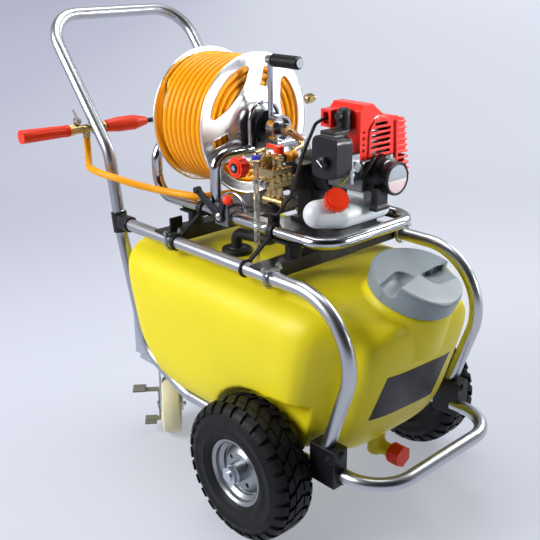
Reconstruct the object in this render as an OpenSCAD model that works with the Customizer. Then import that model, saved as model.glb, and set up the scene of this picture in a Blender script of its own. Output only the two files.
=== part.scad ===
// Wheeled sprayer cart: a tube frame carries a moulded tank, an engine-driven plunger pump
// and a hose reel with its spray gun. Millimetres, +Z up, front of the cart towards -Y.

/* [Frame] */
// Distance of each side rail and handle leg from the middle of the cart
frame_x = 174; // [150:1:200]
// Outside diameter of the frame tube
frame_d = 25; // [20:0.5:32]
// Height of the side rails
rail_z = 471; // [440:1:500]
// Height of the bottom tubes
bottom_z = 152.5; // [145:0.5:170]
// Outside diameter of the upper frame tube
loop_d = 22; // [18:0.5:25]
// Half width of the upper frame
loop_x = 118; // [100:1:140]
// Height of the upper frame
loop_z = 530; // [510:1:550]

/* [Wheels] */
// Outside radius of the front tyres
tyre_r = 130; // [110:1:150]
// Middle of each front tyre from the middle of the cart
wheel_x = 234; // [220:1:260]
// Diameter of the front axle
axle_d = 19; // [16:0.5:22]
// Tread lugs on each shoulder of a tyre
lug_count = 28; // [16:1:40]
// Diameter of the caster wheels
caster_d = 125; // [80:5:160]
// Caster swivel axis from the middle of the cart
caster_x = 117; // [90:1:130]

/* [Tank] */
// Half width of the tank body
tank_hw = 217; // [190:1:230]
// Wall thickness of the tank
tank_wall = 6; // [3:0.5:8]
// Radius of the screw cap
cap_r = 80; // [60:1:95]
// Forward lean of the filler neck in degrees
neck_tilt = 20.8; // [0:0.1:35]

/* [Hose reel] */
// Height of the reel axis
reel_z = 678; // [640:1:720]
// Radius of the reel flanges
flange_r = 135; // [110:1:160]
// Outside diameter of the hose
hose_d = 14; // [10:0.5:18]
// Radius of the outer wound layer at the hose centre
wound_r = 119.5; // [90:0.5:122]
// Axial distance from one wound turn to the next
wound_pitch = 14.5; // [14.5:0.1:18]
// Turns in the outer wound layer
wound_turns = 8.6; // [4:0.1:10]
// Crank radius at the grip
crank_r = 123; // [90:1:130]

/* [Spray gun] */
// Depth at which the gun hangs behind the handle
gun_y = 541; // [535:1:560]

/* [Hidden] */
$fn = 48;
cart_x = -75;
cart_y = -220;
lap = 0.5;
rail_r = 115;
run_gap = 0.05;
caster_trail = -20;
axle_z = 130;
reel_front_y = 230.3;
reel_rear_y = 377.2;
sheet = 2;
shaft_d = 18;
hoop_d = 21;
lever_z = 668;
caster_yaw = [-38, -18];
cap_h = 32;
cap_walls = [-2, 194];
leg = [[frame_x, -120, bottom_z], [frame_x, 255, bottom_z], [frame_x, 385, 205],
       [frame_x, 452, 440], [frame_x, 480, 612], [frame_x, 686, 865]];
rail = [[frame_x, 441.5, rail_z], [frame_x, -221, rail_z], [frame_x, -131, 197]];
loop_path = [[0, -70, loop_z], [-loop_x, -70, loop_z], [-loop_x, 395, loop_z],
             [-loop_x, 395, 640], [loop_x, 395, 640], [loop_x, 395, loop_z],
             [loop_x, -70, loop_z], [0, -70, loop_z]];
// Tank outline along its length: half width, underside and top
tank_half = [[-172, 128], [-132, 142], [-120, 148], [-110, 160], [-98, 180], [-85, 201],
             [-70, 213], [-50, 217], [330, 217], [360, 211], [390, 196]];
tank_low = [[-172, 158], [-132, 150], [240, 150], [300, 162], [340, 190], [390, 214]];
tank_high = [[-172, 408], [-132, 420], [-100, 436], [-78, 448], [-55, 452], [390, 452]];
tank_outer_s = [-172, -171, -169, -166, -161, -153, -143, -132, -121, -110, -98, -86, -74,
                -60, -30, 0, 30, 60, 100, 140, 200, 255, 300, 330, 352, 366, 376, 383, 387,
                389.5];
tank_inner_s = [-150, -132, -115, -100, -86, -74, -60, -20, 20, 60, 100, 150, 200, 255, 300,
                330, 352, 364];
tank_n = 44;
tank_n_in = 28;
// Centre line of the free hose from the reel to the gun
free_path = [[116, 250, 611], [102.5, 250, 592], [82.5, 250, 572.5], [58.5, 250, 557.5],
             [32.5, 250, 548], [9, 250, 544.5], [-8, 250, 544.3], [-32, 250, 545.5],
             [-60, 250, 547.5], [-90, 252, 549.5], [-114, 258, 551], [-128, 275, 551.5],
             [-137, 300, 552],
             [-147, 325, 553.5], [-159, 350, 556], [-172, 373, 560], [-185, 395, 565],
             [-197, 417, 571], [-206, 440, 575], [-211, 463, 578], [-212, 486, 580.5],
             [-206, 507, 582], [-198, 520, 585], [-191.5, 531, 593], [-187, 538.5, 605.5],
             [-185.5, 541, 620], [-185.5, 541, 634]];

// ---------- helpers ----------

function unit3(v) = v / norm(v);
function turn(a, b) = acos(max(-1, min(1, a * b)));
function dir(pts, i) = unit3(pts[i + 1] - pts[i]);
function inner_point(pts, i) = i > 0 && i < len(pts) - 1;
function corner(pts, i) = inner_point(pts, i) ? turn(dir(pts, i - 1), dir(pts, i)) : 0;
function trim_len(pts, r, i) = r * tan(corner(pts, i) / 2);
function flip(pts) = [for (p = pts) [-p[0], p[1], p[2]]];
function clamp01(t) = max(0, min(1, t));
function ease(t) = let (u = clamp01(t)) u * u * (3 - 2 * u);
function spow(v, e) = sign(v) * pow(abs(v), e);

module cart() {
  translate([cart_x, cart_y, 0]) children();
}

module bar(p, q, d) {
  v = q - p;
  translate(p) rotate([0, acos(v[2] / norm(v)), atan2(v[1], v[0])]) cylinder(d = d, h = norm(v));
}

module elbow(p, a, b, r, d) {
  t = turn(a, b);
  n = unit3(b - a * (a * b));
  c = p - a * r * tan(t / 2) + n * r;
  z = cross(-n, a);
  multmatrix([[-n[0], a[0], z[0], c[0]], [-n[1], a[1], z[1], c[1]], [-n[2], a[2], z[2], c[2]],
              [0, 0, 0, 1]])
    rotate_extrude(angle = t) translate([r, 0]) circle(d = d);
}

module tube_path(pts, r, d) {
  for (i = [0:len(pts) - 2]) {
    u = dir(pts, i);
    from = corner(pts, i) > 0.5 ? trim_len(pts, r, i) - lap : 0;
    to = corner(pts, i + 1) > 0.5 ? trim_len(pts, r, i + 1) - lap : 0;
    bar(pts[i] + u * from, pts[i + 1] - u * to, d);
  }
  for (i = [1:len(pts) - 2])
    if (corner(pts, i) > 0.5)
      elbow(pts[i], dir(pts, i - 1), dir(pts, i), r, d - 0.1);
}

module along_x(p, d, l) {
  translate(p) rotate([0, 90, 0]) cylinder(d = d, h = l);
}

module along_y(p, d, l) {
  translate(p) rotate([-90, 0, 0]) cylinder(d = d, h = l);
}

module block(a, b) {
  translate(a) cube(b - a);
}

module hex_y(p, af, l) {
  translate(p) rotate([-90, 30, 0]) cylinder(d = af / cos(30), h = l, $fn = 6);
}

module hex_x(p, af, l) {
  translate(p) rotate([0, 90, 0]) cylinder(d = af / cos(30), h = l, $fn = 6);
}

// Swept tube through a list of points, made of flat rings joined by triangles
module swept(pts, d, sides) {
  n = len(pts);
  dirs = [for (i = [0:n - 1]) unit3(pts[min(n - 1, i + 1)] - pts[max(0, i - 1)])];
  rings = [for (i = [0:n - 1]) let (
             t = dirs[i],
             up = abs(t[2]) > 0.9 ? [0, 1, 0] : [0, 0, 1],
             s = unit3(cross(t, up)),
             w = cross(s, t))
           for (k = [0:sides - 1]) let (a = 360 * k / sides)
             pts[i] + (s * cos(a) + w * sin(a)) * d / 2];
  skin = [for (i = [0:n - 2]) for (k = [0:sides - 1]) let (
             a = i * sides + k,
             b = i * sides + (k + 1) % sides)
           each [[a, b, b + sides], [a, b + sides, a + sides]]];
  first = [for (k = [1:sides - 2]) [0, k + 1, k]];
  last = [for (k = [1:sides - 2]) let (o = (n - 1) * sides) [o, o + k, o + k + 1]];
  polyhedron(points = rings, faces = concat(skin, first, last));
}

// ---------- frame ----------

module leg_tube(s, d) {
  tube_path(s > 0 ? leg : flip(leg), 75, d);
}

module rail_tube(s, d) {
  tube_path(s > 0 ? rail : flip(rail), rail_r, d);
}

module handle_tube(d) {
  tube_path(concat(flip(leg), [for (i = [5:-1:0]) leg[i]]), 75, d);
}

module side_rails() color([0.72, 0.74, 0.76]) cart() {
  for (s = [-1, 1])
    rail_tube(s, frame_d);
}

module push_handle() color([0.72, 0.74, 0.76]) cart() {
  handle_tube(frame_d);
}

module bumper(d) {
  tube_path([[-167, -146, 159], [-167, -246, 159], [167, -246, 159], [167, -146, 159]], 75, d);
}

module bumper_tube() color([0.72, 0.74, 0.76]) cart() {
  bumper(frame_d);
}

module axle() color([0.7, 0.72, 0.74]) cart() {
  along_x([-286, 0, axle_z], axle_d, 572);
  for (s = [-1, 1]) {
    translate([s * 197, 0, axle_z]) rotate([0, 90, 0]) cylinder(d = 32, h = 5, center = true);
    translate([s * 271.7, 0, axle_z]) rotate([0, 90, 0]) cylinder(d = 36, h = 2.4, center = true);
    translate([s * 277.4, 0, axle_z]) rotate([0, 90, 0])
      cylinder(d = 30 / cos(30), h = 9, center = true, $fn = 6);
  }
}

module axle_saddles() color([0.08, 0.08, 0.09]) cart() {
  for (s = [-1, 1])
    difference() {
      union() {
        block([s * frame_x - 15, -24, 117], [s * frame_x + 15, 24, 164]);
        for (y = [-17, 17])
          translate([s * frame_x - s * 5, y, 110]) cylinder(d = 8, h = 8);
      }
      bar([s * frame_x, -40, bottom_z], [s * frame_x, 40, bottom_z], frame_d);
      along_x([s * frame_x - 30, 0, axle_z], axle_d, 60);
    }
}

module frame_clamps() color([0.07, 0.07, 0.08]) cart() {
  for (s = [-1, 1]) {
    difference() {
      union() {
        block([s > 0 ? 157 : -189.5, -163, 139], [s > 0 ? 189.5 : -157, -106, 209]);
        for (z = [148, 199])
          hex_y([s * 170, -167, z], 12, 4);
        hex_x([s > 0 ? 189.5 : -194, -150, 190], 12, 4.5);
      }
      rail_tube(s, frame_d);
      leg_tube(s, frame_d);
      bumper(frame_d);
    }
    difference() {
      union() {
        bar([s * frame_x, 417, rail_z], [s * frame_x, 447, rail_z], 32);
        bar([s * frame_x, 453.5, 449], [s * frame_x, 460.3, 491], 32);
        block([s > 0 ? 157 : -162, 425, 461], [s > 0 ? 162 : -157, 455, 481]);
        hex_x([s > 0 ? 152 : -157, 436, rail_z], 12, 5);
      }
      rail_tube(s, frame_d);
      leg_tube(s, frame_d);
    }
  }
}

module cross_angles() color([0.09, 0.09, 0.1]) cart() {
  for (y = [8, 282]) {
    block([-188, y, 483.5], [188, y + 34, 487.5]);
    block([-158, y, 463], [158, y + 4, 483.5]);
  }
  for (s = [-1, 1]) {
    block([s * 160 - 14, 282, 487.5], [s * 160 + 14, 286, 514]);
    for (y = [25, 299])
      translate([s * 100, y, 487.5]) cylinder(d = 30, h = 27.5);
  }
}

module u_bolts() color([0.78, 0.79, 0.8]) cart() {
  for (s = [-1, 1])
    for (y = [3, 277])
      difference() {
        union() {
          tube_path([[s * 157.5, y, 494], [s * 157.5, y, 454.5], [s * 190.5, y, 454.5],
                     [s * 190.5, y, 494]], 16, 6);
          block([s * frame_x - 21, y - 6, 483.5], [s * frame_x + 21, y + 4.5, 486.5]);
          for (x = [157.5, 190.5])
            translate([s * x, y, 486.5]) cylinder(d = 10 / cos(30), h = 5, $fn = 6);
        }
        bar([s * frame_x, y - 10, rail_z], [s * frame_x, y + 10, rail_z], frame_d);
      }
}

module rear_bracket() color([0.75, 0.78, 0.82]) cart() {
  difference() {
    union() {
      block([-161.5, 332, 173], [161.5, 452, 177]);
      for (s = [-1, 1]) {
        translate([s > 0 ? 158.5 : -161.5, 0, 0]) rotate([90, 0, 90]) linear_extrude(3)
          polygon([[374, 177], [450, 177], [450, 300], [398, 300]]);
        translate([s * caster_x, 388, 169.5]) cube([96, 84, 7], center = true);
        translate([s * caster_x, 388, 162]) cylinder(d = 48, h = 5);
        for (i = [-1, 1])
          for (j = [-1, 1])
            translate([s * caster_x + i * 36, 388 + j * 31, 177])
              cylinder(d = 13 / cos(30), h = 6, $fn = 6);
      }
      block([-158.5, 446.5, 177], [158.5, 449.5, 215]);
    }
    for (s = [-1, 1])
      translate([s * caster_x, 388, 150]) cylinder(d = 12 + 2 * run_gap, h = 23);
  }
}

module strap(p, q, w) {
  v = q - p;
  translate(p) rotate([0, acos(v[2] / norm(v)), atan2(v[1], v[0])])
    translate([-1.75, -w / 2, 0]) cube([3.5, w, norm(v)]);
}

module rail_ring(x, y) {
  translate([x, y, rail_z]) rotate([-90, 0, 0]) difference() {
    cylinder(d = frame_d + 7, h = 4);
    translate([0, 0, -1]) cylinder(d = frame_d, h = 6);
  }
}

module rubber_straps() color([0.05, 0.05, 0.05]) cart() {
  for (y = [262, 66]) {
    rail_ring(-frame_x, y);
    difference() {
      strap([-frame_x + 9, y + 2, rail_z + 11.5], [-loop_x - 6, y - 8, loop_z - 9.5], 9);
      bar([-frame_x, y - 20, rail_z], [-frame_x, y + 20, rail_z], frame_d);
      bar([-loop_x, y - 40, loop_z], [-loop_x, y + 40, loop_z], loop_d);
    }
    difference() {
      translate([-loop_x, y - 16, loop_z]) rotate([-90, 0, 0]) cylinder(d = loop_d + 7, h = 12);
      bar([-loop_x, y - 40, loop_z], [-loop_x, y + 40, loop_z], loop_d);
    }
  }
}

// ---------- axle wheels ----------

module wheel_at(s) {
  translate([s * wheel_x, 0, axle_z]) rotate([0, 90 * s, 0]) children();
}

module tyre(s) {
  half = [[57, 22], [58, 30], [62.5, 32], [66, 36.5], [76, 41], [90, 42.5], [104, 42.3],
          [114, 41], [122, 37.5], [127, 31], [129.3, 22], [130, 12]];
  inner = [[122, 10], [119, 24], [112, 33], [100, 36.5], [84, 35.5], [72, 30], [64, 23.5]];
  n = len(half);
  m = len(inner);
  wheel_at(s) difference() {
    rotate_extrude($fn = 96) polygon(concat(
      half, [[130, 9], [126.5, 8], [126.5, 4], [130, 3]],
      [[130, -3], [126.5, -4], [126.5, -8], [130, -9]],
      [for (i = [n - 1:-1:0]) [half[i][0], -half[i][1]]],
      [for (i = [m - 1:-1:0]) [inner[i][0], -inner[i][1]]], inner));
    for (side = [-1, 1])
      for (i = [0:lug_count - 1])
        rotate([0, 0, (i + (side > 0 ? 0.5 : 0)) * 360 / lug_count])
          translate([126, -2.6, 0]) rotate([0, -17 * side, 0])
            translate([0, 0, side > 0 ? 13 : -46]) cube([14, 5.2, 33]);
  }
}

module rim(s) {
  wheel_at(s) difference() {
    union() {
      rotate_extrude($fn = 96)
        polygon([[62.5, 34], [62.5, 32], [58, 30], [57, 22], [50, 17], [50, -17], [57, -22],
                 [58, -30], [62.5, -32], [62.5, -34], [59.5, -34], [55.5, -31], [54.5, -24],
                 [47.5, -19], [47.5, 19], [54.5, 24], [55.5, 31], [59.5, 34]]);
      rotate_extrude($fn = 96)
        polygon([[47.5, 13], [47.5, 9], [45, 8], [33, 19], [17, 19], [17, 23], [34.5, 23],
                 [46, 12.5]]);
      translate([0, 0, -33.5]) cylinder(d = 36, h = 69.5);
    }
    translate([0, 0, -40]) cylinder(d = axle_d + 2 * run_gap, h = 90);
    for (a = [45:90:315])
      rotate([0, 0, a]) translate([29, 0, 15]) cylinder(d = 9, h = 12);
  }
}

module tyre_left() color([0.05, 0.05, 0.055]) cart() {
  tyre(-1);
}

module tyre_right() color([0.05, 0.05, 0.055]) cart() {
  tyre(1);
}

module rim_left() color([0.78, 0.79, 0.8]) cart() {
  rim(-1);
}

module rim_right() color([0.78, 0.79, 0.8]) cart() {
  rim(1);
}

// ---------- casters ----------

module caster_at(s) {
  translate([s * caster_x, 388, 0]) rotate([0, 0, caster_yaw[s < 0 ? 0 : 1]]) children();
}

module caster_fork(s) {
  caster_at(s) {
    translate([0, 0, 155]) cylinder(d = 56, h = 6.7);
    translate([0, 0, 161.7]) cylinder(d = 12, h = 11);
    block([-25, -24, 150], [25, 24, 155]);
    for (i = [-1, 1])
      translate([i > 0 ? 22 : -25, 0, 0]) rotate([90, 0, 90]) linear_extrude(3)
        polygon([[24, 150], [-24, 150], [caster_trail - 15, 74], [caster_trail - 9, 51],
                 [caster_trail + 9, 51], [caster_trail + 15, 74]]);
    along_x([-31, caster_trail, caster_d / 2], 10, 62);
    hex_x([-31, caster_trail, caster_d / 2], 15, 2);
  }
}

module caster_wheel(s) {
  r = caster_d / 2;
  caster_at(s) translate([0, caster_trail, r]) rotate([0, 90, 0]) difference() {
    rotate_extrude($fn = 96)
      polygon([[3, 21.5], [16, 21.5], [18, 18], [20, 9], [44, 9], [47, 18], [55, 19.5],
               [60, 16], [r - 0.7, 8], [r, 0], [r - 0.7, -8], [60, -16], [55, -19.5],
               [47, -18], [44, -9], [20, -9], [18, -18], [16, -21.5], [3, -21.5]]);
    translate([0, 0, -30]) cylinder(d = 10 + 2 * run_gap, h = 60);
  }
}

module caster_brake(s) {
  caster_at(s) translate([0, caster_trail, 0]) mirror([s > 0 ? 0 : 1, 0, 0]) difference() {
    union() {
      along_x([25.4, 0, caster_d / 2], 26, 3);
      block([25.4, -8, 28], [28.4, 8, 102]);
      block([25.4, -8, 99], [80, 8, 102]);
      block([54, -15, 102], [82, 15, 106]);
      block([25.4, -8, 28], [56, 8, 31]);
      block([34, -17, 24], [60, 17, 28]);
    }
    along_x([20, 0, caster_d / 2], 10 + 2 * run_gap, 12);
  }
}

module caster_fork_left() color([0.74, 0.77, 0.8]) cart() {
  caster_fork(-1);
}

module caster_fork_right() color([0.74, 0.77, 0.8]) cart() {
  caster_fork(1);
}

module caster_wheel_left() color([0.86, 0.83, 0.62]) cart() {
  caster_wheel(-1);
}

module caster_wheel_right() color([0.86, 0.83, 0.62]) cart() {
  caster_wheel(1);
}

module caster_brake_left() color([0.42, 0.44, 0.4]) cart() {
  caster_brake(-1);
}

module caster_brake_right() color([0.42, 0.44, 0.4]) cart() {
  caster_brake(1);
}

// ---------- tank ----------

function knot(t, v, i = 0) = (i >= len(t) - 2 || v < t[i + 1][0]) ? i : knot(t, v, i + 1);
function secant(t, i) = (t[i + 1][1] - t[i][1]) / (t[i + 1][0] - t[i][0]);
function join_slope(a, b) = a * b <= 0 ? 0 : 2 * a * b / (a + b);
function slope(t, i) = i == 0 ? secant(t, 0) :
  (i == len(t) - 1 ? secant(t, i - 1) : join_slope(secant(t, i - 1), secant(t, i)));
function curve(t, v) = let (
  i = knot(t, v),
  h = t[i + 1][0] - t[i][0],
  u = clamp01((v - t[i][0]) / h))
  t[i][1] * (2 * pow(u, 3) - 3 * u * u + 1) + t[i + 1][1] * (3 * u * u - 2 * pow(u, 3)) +
  h * (slope(t, i) * (pow(u, 3) - 2 * u * u + u) + slope(t, i + 1) * (pow(u, 3) - u * u));
function round_off(d, r) = d <= 0 ? 1 : pow(1 - pow(d / r, 3), 1 / 3);
function end_scale(s) = round_off(-132 - s, 41) * round_off(s - 352, 39.5);
function lean(s, z) = s - 0.3 * (z - 250) * ease((-20 - s) / 110)
  + 0.285 * (z - 300) * ease((s - 290) / 80);
function tube_clear(y) = max(172, 168 + 0.408 * (y - 255));
function side_limit(y, z) = 180 + (tank_hw - 180) * ease((norm([y, z - axle_z]) - 148) / 60);
function tank_point(s, a, thin) = let (
  e = end_scale(s),
  low = curve(tank_low, s) + thin,
  high = curve(tank_high, s) - thin,
  t = pow(pow(abs(cos(a)), 4.5) + pow(abs(sin(a)), 4.5), -1 / 4.5),
  x = (curve(tank_half, s) - thin) * e * t * cos(a),
  z1 = (low + high) / 2 + (high - low) / 2 * e * t * sin(a),
  lift = tube_clear(lean(s, z1)) + thin - low,
  z = s < -110 ? z1 : max(z1, low + lift * ease((abs(x) - 138) / 18)),
  y = lean(s, z),
  w = side_limit(y, z) - thin)
  [sign(x) * min(abs(x), w), y, z];

module loft(stations, sides, thin) {
  n = len(stations);
  pts = [for (s = stations) for (k = [0:sides - 1]) tank_point(s, 360 * k / sides, thin)];
  skin = [for (i = [0:n - 2]) for (k = [0:sides - 1]) let (
             a = i * sides + k,
             b = i * sides + (k + 1) % sides)
           each [[a, b, b + sides], [a, b + sides, a + sides]]];
  first = [for (k = [1:sides - 2]) [0, k + 1, k]];
  last = [for (k = [1:sides - 2]) let (o = (n - 1) * sides) [o, o + k, o + k + 1]];
  polyhedron(points = pts, faces = concat(skin, first, last));
}

module neck_at() {
  translate([0, -169.6, 476]) rotate([neck_tilt, 0, 0]) children();
}

module tank() color([0.93, 0.86, 0.12]) cart() {
  difference() {
    union() {
      loft(tank_outer_s, tank_n, 0);
      neck_at() translate([0, 0, -60]) cylinder(r = 66, h = 42.6);
      neck_at() translate([0, 0, -50]) cylinder(r1 = 82, r2 = 73, h = 16);
      translate([-95, 183, 440]) cylinder(d = 62, h = 13);
      translate([-136, 80, 434]) cylinder(d = 26, h = 19);
      translate([0, -96, 103]) cylinder(d = 34, h = 60);
      along_y([0, -148, 118], 26, 52);
    }
    loft(tank_inner_s, tank_n_in, tank_wall);
    neck_at() translate([0, 0, -80]) cylinder(r = 60, h = 90);
    translate([0, -96, 108]) cylinder(d = 24, h = 60);
    along_y([0, -150, 118], 18, 54);
  }
}

// One half of the cap's top, lifted towards one end of the grip line
module cap_ramp() {
  intersection() {
    translate([0, 0, -1]) cylinder(r = cap_r - 1, h = 20, $fn = 96);
    translate([-90, 0, -2]) cube([180, 90, 30]);
    rotate([0, 0, -18]) rotate([0, -9.5, 0]) translate([0, -100, -30]) cube([120, 200, 30]);
  }
}

// The finger hollow in front of a ramp, deepest at its wall, and the voids under the ramp
module cap_hollow() {
  translate([9, 0, 0]) rotate([90, 0, 90]) linear_extrude(80)
    polygon([[0, 20], [0, -9], [-30, 0], [-30, 20]]);
  translate([20, -1, -9]) cube([16, 13, 10.5]);
  translate([41, -1, -9]) cube([28, 13, 14]);
}

module tank_cap() color([0.42, 0.47, 0.52]) cart() {
  neck_at() difference() {
    union() {
      rotate_extrude($fn = 96)
        polygon([[0, 0], [76, 0], [78.6, -0.9], [80, -3.4], [78.5, -cap_h], [0, -cap_h]]);
      for (a = cap_walls)
        rotate([0, 0, a]) cap_ramp();
      for (a = [165, 345])
        for (i = [-2:2])
          rotate([0, 0, a + i * 4.5]) translate([77.6, 0, 4 - cap_h])
            cylinder(d = 4.4, h = cap_h - 9, $fn = 24);
    }
    for (a = cap_walls)
      rotate([0, 0, a]) cap_hollow();
    translate([0, 0, -cap_h - 1]) cylinder(r = 66.5, h = cap_h - 16);
  }
}

module drain_cap() color([0.85, 0.14, 0.07]) cart() {
  difference() {
    union() {
      hex_y([0, -161, 118], 36, 21);
      along_y([0, -141, 118], 39, 5);
    }
    along_y([0, -148.4, 118], 26 + 2 * run_gap, 20);
  }
}

// ---------- upper frame ----------

module loop_tube(d) {
  tube_path(loop_path, 45, d);
}

module unit_frame() color([0.8, 0.81, 0.83]) cart() {
  loop_tube(loop_d);
}

module hoop_tube(d) {
  tube_path([[-loop_x, 212, loop_z], [-loop_x, 212, 638], [loop_x, 212, 638],
             [loop_x, 212, loop_z]], 28, d);
}

module front_hoop() color([0.8, 0.81, 0.83]) cart() {
  difference() {
    union() {
      hoop_tube(hoop_d);
      tube_path([[-36, 207, 640], [-36, 207, 723], [36, 207, 723], [36, 207, 640]], 34, 8);
    }
    for (s = [-1, 1])
      bar([s * loop_x, 180, loop_z], [s * loop_x, 240, loop_z], loop_d);
  }
}

module base_plate() color([0.06, 0.06, 0.07]) cart() {
  difference() {
    union() {
      block([-80, -60, 515], [80, 312, 519]);
      for (y = [8, 272])
        block([-129, y, 515], [129, y + 40, 519]);
      for (s = [-1, 1])
        for (y = [25, 299])
          translate([s * 100, y, 519]) cylinder(d = 16 / cos(30), h = 6, $fn = 6);
    }
    for (y = [128, 188])
      block([-50, y, 510], [50, y + 40, 525]);
  }
}

module reel_bearings() color([0.05, 0.05, 0.055]) cart() {
  difference() {
    union() {
      along_y([0, 197, reel_z], 60, 27);
      block([-28, 199, 638], [28, 223, reel_z - 8]);
    }
    hoop_tube(hoop_d);
    along_y([0, 190, reel_z], shaft_d + 2 * run_gap, 40);
    for (x = [-21, 21])
      translate([x, 190, 655]) rotate([-90, 0, 0]) cylinder(d = 6, h = 12);
  }
  difference() {
    union() {
      along_y([0, 385, reel_z], 46, 20);
      block([-22, 386, 640], [22, 404, reel_z - 8]);
    }
    loop_tube(loop_d);
    along_y([0, 380, reel_z], shaft_d + 2 * run_gap, 30);
  }
}

// ---------- hose reel ----------

module face_y(y, l) {
  translate([0, y + l, reel_z]) rotate([90, 0, 0]) linear_extrude(l) children();
}

module flange_plate() {
  difference() {
    circle(r = flange_r, $fn = 128);
    for (a = [14, 134, 254])
      rotate(a) intersection() {
        circle(r = 114, $fn = 96);
        translate([220, 0]) circle(r = 149, $fn = 128);
      }
    for (a = [74, 194, 314])
      rotate(a) {
        translate([66, -8]) square([44, 16]);
      }
    circle(d = shaft_d);
  }
}

module rolled_rim(y) {
  translate([0, y, reel_z]) rotate([90, 0, 0]) rotate_extrude($fn = 128)
    translate([flange_r - 2, 0]) circle(d = 4, $fn = 24);
}

module reel_flange_front() color([0.84, 0.85, 0.87]) cart() {
  face_y(reel_front_y, sheet) flange_plate();
  rolled_rim(reel_front_y + 1);
  difference() {
    translate([0, reel_front_y, reel_z]) rotate([90, 0, 0]) cylinder(r1 = 60, r2 = 38, h = 5.4);
    along_y([0, 220, reel_z], shaft_d, 20);
  }
  for (a = [14:60:314])
    rotate_about(a) along_y([47, reel_front_y - 5.4, 0], 7, 5.4);
}

module rotate_about(a) {
  translate([0, 0, reel_z]) rotate([0, -a, 0]) children();
}

module reel_flange_rear() color([0.84, 0.85, 0.87]) cart() {
  face_y(reel_rear_y - sheet, sheet) flange_plate();
  rolled_rim(reel_rear_y - 1);
  difference() {
    along_y([0, reel_front_y + sheet, reel_z], 60, reel_rear_y - reel_front_y - 2 * sheet);
    along_y([0, 220, reel_z], shaft_d, 170);
  }
}

wound_rings = floor(wound_turns * 24);
wound_y = reel_front_y + sheet + 8.2;
function wound_angle(i) = 215 + i * 15;
function wound_out(a) = [cos(a), 0, sin(a)];
function wound_at(i) = let (a = wound_angle(i))
  [wound_r * cos(a), wound_y + wound_pitch * i / 24, reel_z + wound_r * sin(a)];
function dip(i, way, q) = let (a = wound_angle(i), t = [-sin(a), 0, cos(a)] * way)
  wound_at(i) + t * 22 * sin(q) - wound_out(a) * 22 * (1 - cos(q));
function dip_end(i, way) = dip(i, way, 90) - wound_out(wound_angle(i)) * hose_d;
wound_path = concat(
  [dip_end(0, -1)], [for (q = [90:-15:15]) dip(0, -1, q)],
  [for (i = [0:wound_rings]) wound_at(i)],
  [for (q = [15:15:90]) dip(wound_rings, 1, q)], [dip_end(wound_rings, 1)]);
wound_last = len(wound_path) - 1;
function path_dir(i) = i == 0 ? unit3(wound_path[1] - wound_path[0]) :
  (i == wound_last ? unit3(wound_path[i] - wound_path[i - 1]) :
   unit3(wound_path[i + 1] - wound_path[i - 1]));
function wound_ring(i) = let (
  t = path_dir(i),
  b = unit3([0, 1, 0] - t * t[1]),
  n = cross(b, t))
  [for (k = [0:5]) wound_path[i] + (n * cos(60 * k + 30) + b * sin(60 * k + 30)) * hose_d / 2];

module wound_slot(i, way) {
  a = wound_angle(i);
  translate([0, wound_at(i)[1], 0]) rotate_about(a)
    block([wound_r - 22 - hose_d, -7.4, way > 0 ? 0 : -29.4],
          [wound_r, 7.4, way > 0 ? 29.4 : 0]);
}

module hose_pack() color([0.9, 0.5, 0.05]) cart() {
  difference() {
    along_y([0, reel_front_y + sheet, reel_z], 2 * (wound_r - hose_d / 2 - 0.5),
            reel_rear_y - reel_front_y - 2 * sheet, $fn = 96);
    along_y([0, 220, reel_z], 60, 170);
    wound_slot(0, -1);
    wound_slot(wound_rings, 1);
  }
}

module wound_hose() color([0.96, 0.6, 0.07]) cart() {
  rings = [for (i = [0:wound_last]) wound_ring(i)];
  gap = min([for (i = [0:wound_last]) for (j = [i + 12:min(i + 36, wound_last)])
               for (p = rings[i]) for (q = rings[j]) norm(p - q)]);
  echo(least_gap = gap);
  skin = [for (i = [0:wound_last - 1]) for (k = [0:5]) let (
             a = i * 6 + k,
             b = i * 6 + (k + 1) % 6)
           each [[a, b, b + 6], [a, b + 6, a + 6]]];
  first = [for (k = [1:4]) [0, k + 1, k]];
  last = [for (k = [1:4]) let (o = wound_last * 6) [o, o + k, o + k + 1]];
  polyhedron(points = [for (r = rings) each r], faces = concat(skin, first, last));
}

module crank_arm() color([0.82, 0.83, 0.85]) cart() {
  along_y([0, 160, reel_z], shaft_d, 243);
  along_y([0, 183, reel_z], 28, 12);
  bar([0, 189, reel_z + 6], [0, 189, reel_z + crank_r - 2], 11);
  along_y([0, 181.5, reel_z + crank_r], 16, 15);
  along_y([0, 112, reel_z + crank_r], 10, 72);
  along_y([0, 110.5, reel_z + crank_r], 17, 3);
}

module crank_grip() color([0.04, 0.04, 0.045]) cart() {
  difference() {
    union() {
      along_y([0, 113.9, reel_z + crank_r], 22, 67.2);
      for (i = [0:10])
        along_y([0, 116 + i * 6, reel_z + crank_r], 24, 3.6);
    }
    along_y([0, 100, reel_z + crank_r], 10 + 2 * run_gap, 90);
  }
}

module swivel_joint() color([0.62, 0.64, 0.66]) cart() {
  difference() {
    union() {
      difference() {
        along_y([0, 158, reel_z], 50, 18);
        along_y([0, 150, reel_z], 42, 16);
      }
      along_y([0, 146, reel_z], 24, 21);
    }
    along_y([0, 159.5, reel_z], shaft_d + 2 * run_gap, 20);
    along_y([0, 140, reel_z], 10, 20);
  }
}

module feed_pipe() color([0.78, 0.6, 0.25]) cart() {
  pipe = [[0, 158, reel_z], [0, 140, reel_z], [29, 124, 651], [-14, 112, 648], [-30, 100, 642],
          [-52, 100, 642]];
  tube_path(pipe, 12, 10);
  hex_y([0, 139, reel_z], 17, 7);
  way = dir(pipe, 1);
  bar(pipe[1] + way * 9, pipe[1] + way * 20, 14);
  bar([-52, 100, 642], [-36, 100, 642], 15);
}

// ---------- pump ----------

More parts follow.
